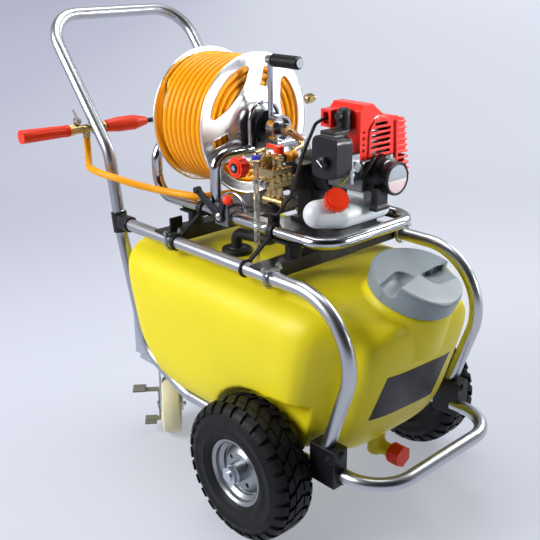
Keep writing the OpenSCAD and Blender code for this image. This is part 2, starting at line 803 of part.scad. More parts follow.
module pump_crankcase() color([0.16, 0.17, 0.18]) cart() {
  along_y([20, 62, 610], 70, 46);
  block([-14, 68, 519], [54, 102, 585]);
  block([-26, 62, 519], [66, 108, 527]);
  block([-42, 64, 588], [0, 106, 632]);
  along_y([20, 108, 610], 40, 1.5);
}

module pump_manifold() color([0.76, 0.58, 0.24]) cart() {
  for (y = [72, 85, 98]) {
    along_x([-64, y, 611], 12, 22);
    translate([-88, y, 634]) cylinder(d = 12, h = 8);
    translate([-88, y, 642]) cylinder(d = 11 / cos(30), h = 5, $fn = 6);
    translate([-88, y, 580]) cylinder(d = 12, h = 20);
    hex_x([-118, y, 611], 11, 6);
  }
  for (y = [78.5, 91.5])
    hex_y([-88, y - 4, 590], 9, 8);
  block([-112, 65, 600], [-64, 106, 634]);
  for (x = [-103, -88, -73])
    hex_y([x, 59, 617], 11, 7);
  block([-112, 90, 634], [-96, 106, 654]);
  along_x([-160, 98, 643], 14, 48);
  hex_x([-126, 98, 643], 19, 8);
  along_y([-88, 58, 572], 22, 50);
  block([-74, 92, 634], [-52, 108, 650]);
  translate([-63, 100, 650]) cylinder(d = 8, h = 12);
  tube_path([[-104, 94, 653], [-104, 94, 667], [-136, 80, 667], [-136, 80, 655]], 7, 7);
}

module regulator_knob() color([0.8, 0.13, 0.08]) cart() {
  difference() {
    union() {
      along_x([-170, 98, 643], 26, 24);
      along_x([-168, 98, 643], 34, 16);
      for (i = [0:11])
        translate([-168, 98, 643]) rotate([i * 30, 0, 0]) translate([0, 0, 16])
          rotate([0, 90, 0]) cylinder(d = 5, h = 16, $fn = 24);
    }
    along_x([-160.4, 98, 643], 14 + 2 * run_gap, 20);
    along_x([-171, 98, 643], 10, 4);
  }
}

module outlet_cock() color([0.8, 0.13, 0.08]) cart() {
  difference() {
    union() {
      translate([-63, 100, 650.4]) cylinder(d = 18, h = 14);
      block([-66, 100, 658], [-60, 126, 664.4]);
      translate([-63, 126, 658]) cylinder(d = 9, h = 6.4);
    }
    translate([-63, 100, 649]) cylinder(d = 8 + 2 * run_gap, h = 13.5);
  }
}

module pump_hoses() color([0.55, 0.55, 0.5]) cart() {
  difference() {
    bar([-136, 80, 453], [-136, 80, 660], 10);
    translate([-136, 80, 655]) cylinder(d = 7, h = 10);
  }
  difference() {
    tube_path([[-95, 80, 568], [-95, 80, 500], [-95, 183, 492], [-95, 183, 453]], 20, 18);
    along_y([-88, 50, 572], 22, 70);
  }
  translate([-95, 183, 453]) cylinder(d = 56, h = 9);
  translate([-136, 80, 453]) cylinder(d = 20, h = 8);
}

module coupling_housing() color([0.1, 0.1, 0.11]) cart() {
  along_y([20, 20, 630], 96, 6);
  translate([20, 26, 630]) rotate([-90, 0, 0]) cylinder(d1 = 78, d2 = 62, h = 20);
  along_y([20, 46, 630], 50, 16);
}

// ---------- engine ----------

module rounded_x(x, l, y, z, w, h, r) {
  translate([x, y, z]) rotate([90, 0, 90]) linear_extrude(l) {
    translate([r, 0]) square([w - 2 * r, h]);
    translate([0, r]) square([w, h - 2 * r]);
    for (i = [r, w - r])
      for (j = [r, h - r])
        translate([i, j]) circle(r = r);
  }
}

module engine_block() color([0.55, 0.56, 0.57]) cart() {
  block([-20, -58, 601], [62, 20, 655]);
  along_y([20, -58, 630], 49, 78);
  block([-10, 2, 519], [50, 20, 601]);
  block([10, -34, 650], [66, 6, 716]);
  for (i = [0:5])
    block([-6, -42, 665 + i * 9], [i < 4 ? 94 : 118 - i * 8, 12, 668.5 + i * 9]);
  block([62, -36, 612], [103, 10, 652]);
}

module cylinder_cover() color([0.85, 0.1, 0.07]) cart() {
  difference() {
    union() {
      translate([0, 20, 0]) rotate([90, 0, 0]) linear_extrude(70)
        polygon([[-19, 655], [-19, 738], [-10, 748], [12, 748], [40, 727], [78, 720], [98, 709],
                 [106, 655]]);
      block([-41, -4, 708], [-18, 20, 738]);
      translate([0, -49, 0]) rotate([90, 0, 0]) linear_extrude(4) {
        translate([2, 657]) square([60, 37]);
        translate([32, 694]) circle(r = 30);
      }
    }
    translate([0, 21, 0]) rotate([90, 0, 0]) linear_extrude(68)
      polygon([[-16, 650], [-16, 737], [-9, 745], [11, 745], [39, 724], [77, 717], [95, 707],
               [103, 650]]);
    for (i = [0:5])
      block([i < 5 ? 8 : 16, -60, 661 + i * 9.7], [i < 5 ? 57 : 48, -40, 666 + i * 9.7]);
    for (i = [0:3])
      along_y([-9, -60, 670 + i * 10.5], 5, 20);
    block([-46, 2, 713], [-22, 14, 733]);
  }
}

function guard_x(z) = 121 - (z - 598) / 6;

module muffler_guard() color([0.8, 0.12, 0.09]) cart() {
  difference() {
    union() {
      translate([0, 14, 0]) rotate([90, 0, 0]) linear_extrude(60)
        polygon([[106, 610], [106, 655], [98, 709], [99, 714], [guard_x(711), 711],
                 [guard_x(598), 598], [86, 598], [86, 610]]);
      along_y([104, -50, 628], 17, 5);
    }
    for (i = [0:9]) {
      z = 603 + i * 10.7;
      block([guard_x(z) - (z < 655 ? 8 : 5.5), -52, z], [130, 8, z + 5.4]);
    }
    for (i = [0:2])
      block([89 + i * 6, -50, 596], [92 + i * 6, -40, 606]);
    along_y([104, -51, 628], 9, 8);
  }
}

module air_filter_case() color([0.09, 0.09, 0.1]) cart() {
  rounded_x(-95, 25, -68, 636, 56, 70, 12);
  rounded_x(-70, 18, -64, 640, 48, 62, 10);
  block([-90, -58, 704], [-56, -26, 714]);
  along_x([-101, -42, 664], 19, 6);
  translate([-104, -42, 664]) rotate([30, 0, 0]) cube([8, 4, 17], center = true);
}

module carburettor() color([0.4, 0.41, 0.42]) cart() {
  block([-52, -52, 640], [-20, -26, 668]);
  along_x([-52, -38, 652], 30, 32);
  along_y([-34, -60, 648], 18, 8);
  translate([-34, -38, 620]) cylinder(d = 26, h = 20);
  block([-30, -50, 622], [-20, -24, 640]);
}

module plug_cap() color([0.05, 0.05, 0.055]) cart() {
  difference() {
    union() {
      translate([-31, -24, 706]) cylinder(d = 25, h = 26);
      translate([-31, -24, 732]) sphere(d = 25);
      along_x([-48, -24, 730], 13, 17);
    }
    block([-19, -40, 690], [0, 0, 760]);
  }
  along_y([-31, -24, 729], 7, 20);
}

module starter_cover() color([0.07, 0.07, 0.075]) cart() {
  along_y([24, -74, 626], 70, 16);
  translate([24, -80, 626]) rotate([-90, 0, 0]) cylinder(d1 = 58, d2 = 70, h = 6);
  along_y([25, -92, 625], 54, 12);
  block([-14, -88, 577], [14, -73.5, 612]);
  block([-18, -90, 573], [18, -73.5, 580]);
  for (a = [30, 150, 270])
    translate([24, -76, 626]) rotate([0, a, 0]) translate([30, 0, 0]) rotate([-90, 0, 0])
      cylinder(d = 14, h = 18);
}

module fuel_tank() color([0.9, 0.91, 0.9]) cart() {
  hull($fn = 28) {
    translate([-99, -30, 574]) sphere(r = 24, $fn = 28);
    translate([-62, -50, 567]) sphere(r = 21, $fn = 28);
    translate([-62, -22, 566]) sphere(r = 20, $fn = 28);
    translate([34, -51, 566]) sphere(r = 20, $fn = 28);
    translate([34, -21, 566]) sphere(r = 20, $fn = 28);
  }
  block([-10, -54, 575], [40, -16, 601]);
  fuel_neck(-22, 23.6, 26);
}

module fuel_neck(from, l, d) {
  translate([-80, -56, 600]) rotate([43, -28, 0]) translate([0, 0, from]) cylinder(d = d, h = l);
}

module fuel_cap() color([0.83, 0.16, 0.08]) cart() {
  difference() {
    union() {
      fuel_neck(-5, 11, 40);
      fuel_neck(6, 2, 34);
      for (i = [0:17])
        translate([-80, -56, 600]) rotate([43, -28, 0]) rotate([0, 0, i * 20])
          translate([19.5, 0, -5]) cylinder(d = 3.4, h = 10, $fn = 16);
    }
    fuel_neck(-10, 12, 26 + 2 * run_gap);
  }
}

// ---------- throttle ----------

module throttle_bracket() color([0.3, 0.31, 0.32]) cart() {
  difference() {
    union() {
      bar([-loop_x, 160, loop_z], [-loop_x, 196, loop_z], loop_d + 6);
      block([-135, 160, 516], [-131.5, 196, 556]);
    }
    bar([-loop_x, 150, loop_z], [-loop_x, 206, loop_z], loop_d);
  }
  along_x([-141, 180, 533], 8, 6);
}

module throttle_cable() color([0.04, 0.04, 0.045]) cart() {
  difference() {
    tube_path([[-133, 165, 550], [-124, 148, 560], [-116, 120, 560], [-114, 50, 558],
               [-106, 24, 600], [-92, 12, 668], [-66, 8, 717], [-46, 8, 723], [-22, 8, 723]],
              12, 6);
    block([-140, 150, 510], [-131.5, 200, 560]);
  }
}

module throttle_lever() color([0.1, 0.1, 0.11]) cart() {
  difference() {
    union() {
      along_x([-140.6, 180, 533], 24, 5.2);
      translate([-140.6, 0, 0]) rotate([90, 0, 90]) linear_extrude(5.2)
        polygon([[176, 540], [187, 529], [246, 566], [239, 577]]);
      along_x([-144, 242, 571], 13, 12);
      translate([-140.6, 0, 0]) rotate([90, 0, 90]) linear_extrude(5.2)
        polygon([[172, 536], [184, 543], [170, 570], [161, 566]]);
    }
    along_x([-150, 180, 533], 8 + 2 * run_gap, 30);
  }
}

// ---------- spray gun ----------

function gun_z(x) = 654.5 - (x + 330) * 17.5 / 810;

module gun_at() {
  translate([-330, gun_y, 654.5]) rotate([0, 91.24, 0]) children();
}

module gun_hooks() color([0.75, 0.77, 0.79]) cart() {
  for (s = [-1, 1]) {
    x = s * (frame_x - 5);
    z = gun_z(x) - (s < 0 ? 7 : 5) - 3;
    difference() {
      tube_path([[x, 507, z], [x, gun_y + 13, z], [x, gun_y + 13, z + 24]], 9, 6);
      leg_tube(s, frame_d);
    }
  }
}

module gun_valve() color([0.78, 0.6, 0.26]) cart() {
  gun_at() {
    translate([0, 0, 64]) cylinder(d = 10, h = 44);
    translate([0, 0, 104.4]) cylinder(d = 20 / cos(30), h = 12, $fn = 6);
    translate([0, 0, 116]) cylinder(d = 17, h = 32);
    translate([0, 0, 148]) cylinder(d = 14, h = 36);
    translate([0, 0, 184]) cylinder(d = 18 / cos(30), h = 6, $fn = 6);
    translate([0, 0, 771]) cylinder(d = 16, h = 12);
    translate([0, 0, 783]) cylinder(d = 22 / cos(30), h = 18, $fn = 6);
    translate([0, 0, 801]) cylinder(d = 14, h = 9);
  }
  translate([-185.5, gun_y, 634]) cylinder(d = 14, h = 18);
  translate([-185.5, gun_y, 634.5]) cylinder(d = 15 / cos(30), h = 8, $fn = 6);
  block([-209, gun_y + 4.4, 652], [-197, gun_y + 7.4, lever_z + 6]);
  along_y([-203, gun_y - 6, lever_z], 5, 12);
}

module gun_lever() color([0.45, 0.47, 0.5]) cart() {
  difference() {
    union() {
      along_y([-203, gun_y - 4, lever_z], 12, 8);
      bar([-203, gun_y, lever_z + 2], [-212, gun_y, lever_z + 24], 5);
    }
    along_y([-203, gun_y - 10, lever_z], 5 + 2 * run_gap, 20);
  }
}

module gun_rear_grip() color([0.88, 0.16, 0.08]) cart() {
  gun_at() difference() {
    union() {
      cylinder(d1 = 27, d2 = 22, h = 104);
      translate([0, 0, 96]) cylinder(d = 24, h = 8);
      for (i = [0:9])
        rotate([0, 0, i * 36]) translate([11.4, 0, 6]) rotate([0, -1.2, 0])
          cylinder(d = 4.6, h = 88, $fn = 16);
    }
    translate([0, 0, 63.6]) cylinder(d = 10 + 2 * run_gap, h = 50);
  }
}

module gun_front_grip() color([0.88, 0.16, 0.08]) cart() {
  gun_at() difference() {
    union() {
      translate([0, 0, 190]) cylinder(d1 = 24, d2 = 31, h = 34);
      translate([0, 0, 224]) cylinder(d = 31, h = 36);
      translate([0, 0, 260]) cylinder(d1 = 31, d2 = 17, h = 31);
    }
    translate([0, 0, 180]) cylinder(d = 10, h = 120);
  }
}

module gun_tube() color([0.06, 0.06, 0.065]) cart() {
  gun_at() translate([0, 0, 190]) cylinder(d = 10, h = 581);
}

module free_hose() color([0.96, 0.6, 0.07]) cart() {
  swept(free_path, hose_d, 10);
}

side_rails();
push_handle();
bumper_tube();
axle();
axle_saddles();
frame_clamps();
cross_angles();
u_bolts();
tank();
rear_bracket();
rubber_straps();
unit_frame();
base_plate();
front_hoop();
reel_bearings();
swivel_joint();
feed_pipe();
pump_crankcase();
pump_manifold();
pump_hoses();
coupling_housing();
engine_block();
cylinder_cover();
muffler_guard();
air_filter_case();
carburettor();
plug_cap();
starter_cover();
fuel_tank();
throttle_bracket();
throttle_cable();
gun_hooks();
gun_valve();
gun_front_grip();
gun_tube();
free_hose();
tyre_left();
tyre_right();
rim_left();
rim_right();
caster_fork_left();
caster_fork_right();
caster_wheel_left();
caster_wheel_right();
caster_brake_left();
caster_brake_right();
tank_cap();
drain_cap();
reel_flange_front();
reel_flange_rear();
hose_pack();
wound_hose();
crank_arm();
crank_grip();
throttle_lever();
regulator_knob();
outlet_cock();
fuel_cap();
gun_rear_grip();
gun_lever();
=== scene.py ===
"""Looks of a wheeled sprayer cart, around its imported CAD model."""

import math

import bmesh
import bpy
from mathutils import Matrix, Vector


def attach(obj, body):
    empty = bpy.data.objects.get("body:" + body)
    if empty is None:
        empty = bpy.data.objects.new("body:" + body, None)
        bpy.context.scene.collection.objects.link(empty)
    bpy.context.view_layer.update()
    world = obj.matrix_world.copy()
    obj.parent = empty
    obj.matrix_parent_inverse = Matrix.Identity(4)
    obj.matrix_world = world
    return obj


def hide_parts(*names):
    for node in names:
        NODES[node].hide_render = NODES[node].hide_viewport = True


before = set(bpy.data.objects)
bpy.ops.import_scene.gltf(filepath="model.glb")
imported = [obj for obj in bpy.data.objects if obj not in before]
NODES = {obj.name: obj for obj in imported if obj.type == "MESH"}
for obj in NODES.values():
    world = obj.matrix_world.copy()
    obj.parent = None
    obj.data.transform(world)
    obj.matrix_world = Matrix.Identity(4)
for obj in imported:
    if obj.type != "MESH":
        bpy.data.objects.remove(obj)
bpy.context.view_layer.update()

MM = 0.001
CART = Vector((-0.075, -0.220, 0.0))  # middle of the axle on the floor
UP, FRONT, BACK, LEFT, RIGHT = (0, 0, 1), (0, -1, 0), (0, 1, 0), (-1, 0, 0), (1, 0, 0)
SCENE = bpy.context.scene
PAINTS = {}  # look: its Paint, filled by make_materials()


def at(x, y, z):
    """A point given in the cart's own millimetres, as metres in the frame."""
    return Vector((x, y, z)) * MM + CART


def put(name, data):
    """A new object in the scene."""
    thing = bpy.data.objects.new(name, data)
    SCENE.collection.objects.link(thing)
    return thing


# ---------- shader nodes ----------

class Tree:
    """The shader nodes of a material or a world."""

    def __init__(self, owner):
        owner.use_nodes = True
        self.nodes, self.links = owner.node_tree.nodes, owner.node_tree.links

    def wire(self, node, *inputs, **named):
        """Gives a node's inputs, in order or by name, numbers, outputs, or nodes for their first
        output."""
        sockets = list(zip(node.inputs, inputs))
        sockets += [(node.inputs[key.replace("_", " ")], value) for key, value in named.items()]
        for socket, value in sockets:
            if isinstance(value, bpy.types.Node):
                value = value.outputs[0]
            if isinstance(value, bpy.types.NodeSocket):
                self.links.new(value, socket)
            else:
                socket.default_value = value
        return node

    def add(self, kind, *inputs, **named):
        """A new node; names in lower case are its settings, the others its inputs."""
        node = self.nodes.new("ShaderNode" + kind)
        for key in [key for key in named if key.islower()]:
            setattr(node, key, named.pop(key))
        return self.wire(node, *inputs, **named)

    def remap(self, value, start, end, low=0.0, high=1.0, kind="LINEAR"):
        return self.add("MapRange", value, start, end, low, high, interpolation_type=kind)

    def ramp(self, value, stops):
        """Colours by a value: stops are (position, colour)."""
        node = self.add("ValToRGB", value)
        elements = node.color_ramp.elements
        while len(elements) < len(stops):
            elements.new(0.5)
        for element, (where, colour) in zip(elements, stops):
            element.position, element.color = where, (*colour, 1)
        return node


# ---------- camera, floor and light ----------

CAMERA_PLACE = (-1089.4, -981.3, 988.8)
CAMERA_YAW, CAMERA_PITCH, CAMERA_ROLL = 42.836, 20.533, -0.449
CAMERA_LENS, SENSOR = 56.93, 36.0
LEFT_TO_RIGHT = Vector((0.733, -0.680, 0.0))  # across the camera's view, on the floor
# the sweep's lavender tone with painted light across it: darker to the left, lighter to the right
BACKDROP_TONE_AND_LIGHT = [(0.0, (0.46, 0.47, 0.60)), (0.28, (0.52, 0.54, 0.66)), (0.5, (0.68, 0.71, 0.80)),
            (1.0, (0.77, 0.80, 0.90))]
FLOOR = [(-30, -30, 0), (30, -30, 0), (30, 30, 0), (-30, 30, 0)]
FLOOR_SPAN, SKY_SPAN = 4.5, 0.27  # how far out the backdrop's last colours are reached
FLOOR_GLOW = (0.6, 3.0, 0.5, 1.0)  # from and to distance, and the share there
WALLS = [(where, (grey, grey, grey * 1.04)) for where, grey in
         ((0.0, 0.20), (0.45, 0.30), (0.55, 0.65), (0.70, 0.40), (1.0, 0.22))]
DARK_SIDE = Vector((-0.55, -0.80, 0.15)).normalized()
ROOM_DIM = (-0.1, 0.75, 0.80, 0.04)  # from and to facing the dark side, and the light there
# name: (place, target, size, watts, spread in degrees)
LAMPS = {
    "left": ((-2.2, 0.9, 1.7), (0, 0.05, 0.35), (1.5, 1.3), 74, 180),
    "right": ((2.1, -0.45, 1.7), (0, 0, 0.45), (1.3, 1.2), 30, 180),
    "top": ((0.25, 0.35, 2.6), (0, 0, 0.4), (1.6, 1.6), 36, 180),
    "engine": ((1.25, -1.75, 1.10), (-0.03, -0.2, 0.74), (0.4, 0.5), 1.3, 20),
}


def make_camera():
    data = bpy.data.cameras.new("camera")
    data.lens, data.sensor_width = CAMERA_LENS, SENSOR
    data.clip_start, data.clip_end = 0.05, 60.0
    camera = put("camera", data)
    yaw, pitch, roll = map(math.radians, (CAMERA_YAW, CAMERA_PITCH, CAMERA_ROLL))
    turn = (Matrix.Rotation(-yaw, 4, "Z") @ Matrix.Rotation(math.pi / 2 - pitch, 4, "X")
            @ Matrix.Rotation(roll, 4, "Z"))
    camera.matrix_world = Matrix.Translation(at(*CAMERA_PLACE)) @ turn
    SCENE.camera = camera


def backdrop_tone_and_light(tree, place, span):
    """The pale lavender sweep with painted light: greyer and darker to the left, lighter to the
    right.
    """
    across = tree.add("VectorMath", place, LEFT_TO_RIGHT, operation="DOT_PRODUCT")
    return tree.ramp(tree.remap(across.outputs["Value"], -span, span), BACKDROP_TONE_AND_LIGHT)


def seen_directly(tree, share):
    """A share for camera rays, all of it for mirror and see-through rays, none for light."""
    path = tree.add("LightPath").outputs
    total = tree.add("Math", path["Is Camera Ray"], share, operation="MULTIPLY")
    for ray in ("Is Glossy Ray", "Is Transmission Ray"):
        total = tree.add("Math", total, path[ray], operation="ADD", use_clamp=True)
    return total


def make_floor():
    """A pale sweep: lit near the cart, and far off and where metal shows it the backdrop's tone
    with its painted light.
    """
    mesh = bpy.data.meshes.new("floor")
    mesh.from_pydata(FLOOR, [], [(0, 1, 2, 3)])
    floor = put("floor", mesh)
    material = bpy.data.materials.new("floor")
    tree = Tree(material)
    place = tree.add("TexCoord").outputs["Object"]
    colour = backdrop_tone_and_light(tree, place, FLOOR_SPAN)
    far = tree.add("VectorMath", place, operation="LENGTH").outputs["Value"]
    share = tree.remap(far, *FLOOR_GLOW, "SMOOTHSTEP")
    matt = tree.wire(tree.nodes["Principled BSDF"], Base_Color=colour, Roughness=0.7,
                     Specular_IOR_Level=0.2)
    mix = tree.add("MixShader", seen_directly(tree, share), matt, tree.add("Emission", colour))
    tree.wire(tree.nodes["Material Output"], Surface=mix)
    mesh.materials.append(material)


def make_world():
    """A room whose walls are bright low down, and dark behind the camera."""
    world = bpy.data.worlds.new("studio")
    SCENE.world = world
    tree = Tree(world)
    way = tree.add("TexCoord").outputs["Generated"]
    # the camera sees the backdrop's tone with its painted light falloff
    shown = tree.wire(tree.nodes["Background"], backdrop_tone_and_light(tree, way, SKY_SPAN), 1.0)
    height = tree.add("SeparateXYZ", way).outputs["Z"]
    facing = tree.add("VectorMath", way, DARK_SIDE, operation="DOT_PRODUCT").outputs["Value"]
    room = tree.add("Background", tree.ramp(tree.remap(height, -1, 1), WALLS),
                    tree.remap(facing, *ROOM_DIM, "SMOOTHSTEP"))
    mix = tree.add("MixShader", tree.add("LightPath").outputs["Is Camera Ray"], room, shown)
    tree.wire(tree.nodes["World Output"], Surface=mix)


def make_lamps():
    for name, (place, target, size, power, spread) in LAMPS.items():
        data = bpy.data.lights.new(name, "AREA")
        data.shape, data.size, data.size_y = "RECTANGLE", *size
        data.energy, data.spread = power, math.radians(spread)
        lamp = put(name, data)
        lamp.location = place
        lamp.rotation_mode = "QUATERNION"
        lamp.rotation_quaternion = (Vector(target) - Vector(place)).to_track_quat("-Z", "Y")


# ---------- materials ----------

class Paint(Tree):
    """A principled material whose colour, roughness and relief vary with object space."""

    def __init__(self, name, colour, rough, metal=0.0, gloss=0.5, **sockets):
        self.material = bpy.data.materials.new(name)
        super().__init__(self.material)
        self.colour, self.rough, self.normal = colour, rough, None
        self.shader = self.wire(self.nodes["Principled BSDF"], Base_Color=(*colour, 1),
                                Roughness=rough, Metallic=metal, Specular_IOR_Level=gloss,
                                **sockets)
        self.place = self.add("TexCoord").outputs["Object"]

    def bend(self, normal):
        self.normal = normal
        self.wire(self.shader, Normal=normal)
        return self

    def soft_edges(self, radius):
        return self.bend(self.add("Bevel", Radius=radius * MM, samples=4))

    def noise(self, scale, detail):
        return self.add("TexNoise", Vector=self.place, Scale=scale, Detail=detail)

    def tint(self, value, *stops):
        self.wire(self.shader, Base_Color=self.ramp(value, stops))
        return self

    def vary(self, scale, amount):
        """The base colour drifts lighter and darker by a share."""
        dark = tuple(c * (1 - amount) for c in self.colour)
        light = tuple(min(1.0, c * (1 + amount)) for c in self.colour)
        return self.tint(self.noise(scale, 3.0), (0.3, dark), (0.7, light))

    def uneven(self, scale, amount):
        """The roughness drifts by an amount."""
        low, high = max(0.02, self.rough - amount), self.rough + amount
        self.wire(self.shader, Roughness=self.remap(self.noise(scale, 4.0), 0.3, 0.7, low, high))
        return self

    def grain(self, scale, strength, depth, detail=3.0):
        """Bump of a noise, depth in millimetres, over what is there already."""
        bump = self.add("Bump", Height=self.noise(scale, detail), Strength=strength,
                        Distance=depth * MM)
        if self.normal is not None:
            self.wire(bump, Normal=self.normal)
        return self.bend(bump)


def metal_paint(name, colour, rough, scale, amount):
    return Paint(name, colour, rough, 1.0).vary(scale * 0.2, 0.05).uneven(scale, amount)


def plastic_paint(name, colour, rough, grain=0.15, edge=0.8, **sockets):
    paint = Paint(name, colour, rough, **sockets).soft_edges(edge)
    return paint.vary(14, 0.05).uneven(40, 0.05).grain(1400, grain, 0.08)


def label_paint():
    """A bare dark film with a lighter slanting band."""
    paint = Paint("label_film", (0.03, 0.031, 0.04), 0.42, gloss=0.15)
    slant = paint.add("Mapping", Vector=paint.place, Location=(0.005, 0, 0),
                      Rotation=(0, math.radians(38), 0))
    band = paint.add("TexWave", Vector=slant, bands_direction="X", Scale=2.3, Distortion=0.6,
                     Detail=1.0).outputs["Fac"]
    paint.tint(band, (0.30, (0.014, 0.015, 0.020)), (0.55, (0.030, 0.029, 0.038)),
               (0.85, (0.058, 0.050, 0.062)))
    return paint.uneven(30, 0.04)


BADGE_REFLECTION_SPLIT = (0.617, 0.629)  # heights between which its painted reflection changes from pink below to grey-blue above


def badge_reflection_paint():
    """A blank badge with a painted reflection: pink below, darker grey-blue above."""
    paint = Paint("badge", (0.7, 0.6, 0.6), 0.22, 0.35)
    height = paint.remap(paint.add("SeparateXYZ", paint.place).outputs["Z"], *BADGE_REFLECTION_SPLIT)
    # painted reflection of the surroundings: pink on the lower part, grey-blue on the upper part
    paint.tint(height, (0.0, (0.80, 0.62, 0.62)), (0.5, (0.82, 0.72, 0.72)),
               (0.62, (0.34, 0.36, 0.40)), (1.0, (0.42, 0.45, 0.50)))
    return paint.uneven(60, 0.05)


def make_materials():
    PAINTS.update(
        zinc=metal_paint("zinc_tube", (0.52, 0.54, 0.58), 0.31, 9, 0.02),
        chrome=metal_paint("chrome_tube", (0.52, 0.54, 0.57), 0.16, 9, 0.015),
        bright_steel=metal_paint("plated_steel", (0.60, 0.64, 0.70), 0.30, 60, 0.04),
        rim=metal_paint("rim_zinc", (0.36, 0.38, 0.40), 0.36, 30, 0.05),
        cast_alloy=metal_paint("cast_alloy", (0.22, 0.23, 0.24), 0.48, 220, 0.08)
        .grain(500, 0.3, 0.25),
        flange=metal_paint("flange_aluminium", (0.95, 0.96, 0.98), 0.30, 14, 0.03),
        brass=metal_paint("brass", (0.58, 0.43, 0.20), 0.24, 90, 0.05).soft_edges(0.4),
        copper=plastic_paint("copper_hose", (0.42, 0.17, 0.06), 0.4, 0.2),
        black_metal=Paint("black_enamel", (0.010, 0.010, 0.012), 0.36, gloss=0.3)
        .soft_edges(0.8).vary(30, 0.2).uneven(60, 0.07).grain(350, 0.15, 0.1),
        black_plastic=plastic_paint("black_plastic", (0.010, 0.011, 0.013), 0.33, 0.25,
                                    gloss=0.35),
        rubber=plastic_paint("rubber", (0.008, 0.008, 0.009), 0.5, 0.3, gloss=0.35),
        red_cover=plastic_paint("red_cover", (0.84, 0.028, 0.016), 0.17, 0.05, 1.4),
        red_plastic=plastic_paint("red_grip", (0.84, 0.040, 0.008), 0.34, 0.2, gloss=0.3),
        cap_plastic=plastic_paint("cap_plastic", (0.22, 0.265, 0.295), 0.36, 0.12, 1.0),
        nylon=plastic_paint("nylon", (0.78, 0.72, 0.46), 0.45),
        brake_plastic=plastic_paint("brake_pad", (0.19, 0.19, 0.14), 0.5, 0.3),
        fuel_tank_shell=plastic_paint("fuel_tank", (0.66, 0.70, 0.73), 0.34, 0.1,
                                      Subsurface_Weight=0.25, Subsurface_Scale=0.008),
        clear_hose=plastic_paint("clear_hose", (0.86, 0.84, 0.76), 0.15, 0.02,
                                 Transmission_Weight=0.85, IOR=1.25),
        hose=Paint("hose_vinyl", (0.87, 0.35, 0.003), 0.33, gloss=0.24)
        .vary(22, 0.06).uneven(50, 0.06).grain(1200, 0.1, 0.05),
        tank_shell=Paint("tank_polyethylene", (0.75, 0.635, 0.010), 0.42, gloss=0.30)
        .vary(5, 0.05).uneven(18, 0.06).grain(26, 0.12, 1.0, 2.0).grain(900, 0.12, 0.12),
        label=label_paint(),
        badge=badge_reflection_paint(),
        blue=plastic_paint("blue_clip", (0.02, 0.03, 0.45), 0.35),
        olive=plastic_paint("fuel_line", (0.30, 0.30, 0.03), 0.35, 0.1),
        tyre=Paint("tyre_rubber", (0.0075, 0.0075, 0.009), 0.52, gloss=0.2)
        .soft_edges(0.8).vary(35, 0.25).uneven(60, 0.08).grain(700, 0.25, 0.15),
    )


# look: the CAD nodes that have it; most looks are named as their material slot
LOOKS = {
    "zinc": "side_rails push_handle bumper_tube",
    "chrome": "unit_frame front_hoop crank_arm swivel_joint",
    "bright_steel": "axle rear_bracket gun_hooks caster_fork_left caster_fork_right gun_lever",
    "rim": "rim_left rim_right u_bolts",
    "black_metal": "axle_saddles frame_clamps cross_angles base_plate reel_bearings "
                   "coupling_housing pump_crankcase",
    "tank_shell": "tank",
    "cap_plastic": "tank_cap",
    "rubber": "rubber_straps plug_cap throttle_cable",
    "tyre": "tyre_left tyre_right",
    "nylon": "caster_wheel_left caster_wheel_right",
    "brake_plastic": "caster_brake_left caster_brake_right",
    "red_plastic": "drain_cap regulator_knob outlet_cock fuel_cap gun_rear_grip "
                   "gun_front_grip",
    "red_cover": "cylinder_cover muffler_guard",
    "brass": "feed_pipe pump_manifold gun_valve",
    "clear_hose": "pump_hoses",
    "cast_alloy": "engine_block carburettor throttle_bracket",
    "black_plastic": "air_filter_case starter_cover throttle_lever crank_grip gun_tube",
    "fuel_tank_shell": "fuel_tank",
    "hose": "free_hose wound_hose hose_pack",
    "flange": "reel_flange_front reel_flange_rear",
}


def dress_nodes():
    for look, names in LOOKS.items():
        for name in names.split():
            mesh = NODES[name].data
            mesh.materials.clear()
            mesh.materials.append(PAINTS[look].material)


# ---------- cords ----------

HOSE_D = 14
FREE_HOSE = [
    (116, 250, 611), (102.5, 250, 592), (82.5, 250, 572.5), (58.5, 250, 557.5),
    (32.5, 250, 548), (9, 250, 544.5), (-8, 250, 544.3), (-32, 250, 545.5),
    (-60, 250, 547.5), (-90, 252, 549.5), (-114, 258, 551), (-128, 275, 551.5),
    (-137, 300, 552), (-147, 325, 553.5),
    (-159, 350, 556), (-172, 373, 560), (-185, 395, 565), (-197, 417, 571), (-206, 440, 575),
    (-211, 463, 578), (-212, 486, 580.5), (-206, 507, 582), (-198, 520, 585),
    (-191.5, 531, 593), (-187, 538.5, 605.5), (-185.5, 541, 620), (-185.5, 541, 634)]


def make_free_hose():
    data = bpy.data.curves.new("hose_to_gun", "CURVE")
    data.dimensions = "3D"
    data.bevel_depth = HOSE_D / 2 * MM
    data.bevel_resolution, data.resolution_u = 6, 6
    data.use_fill_caps = True
    spline = data.splines.new("BEZIER")
    spline.bezier_points.add(len(FREE_HOSE) - 1)
    for knot, place in zip(spline.bezier_points, FREE_HOSE):
        knot.co = at(*place)
        knot.handle_left_type = knot.handle_right_type = "AUTO"
    data.materials.append(PAINTS["hose"].material)
    hose = put("hose_to_gun", data)
    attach(hose, "chassis")
    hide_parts("free_hose")


# ---------- mesh building ----------

SHARP = math.radians(38)  # edges bent by more than this stay sharp


def keep_piece(name, mesh, look, body="chassis", replaces=(), slot=None):
    """Puts a mesh into the scene in the material of its look, on its body, hiding the nodes it
    replaces. Its slot is not used.
    """
    piece = put(name, mesh)
    mesh.materials.append(PAINTS[look].material)
    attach(piece, body)
    if replaces:
        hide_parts(*replaces)
    return piece


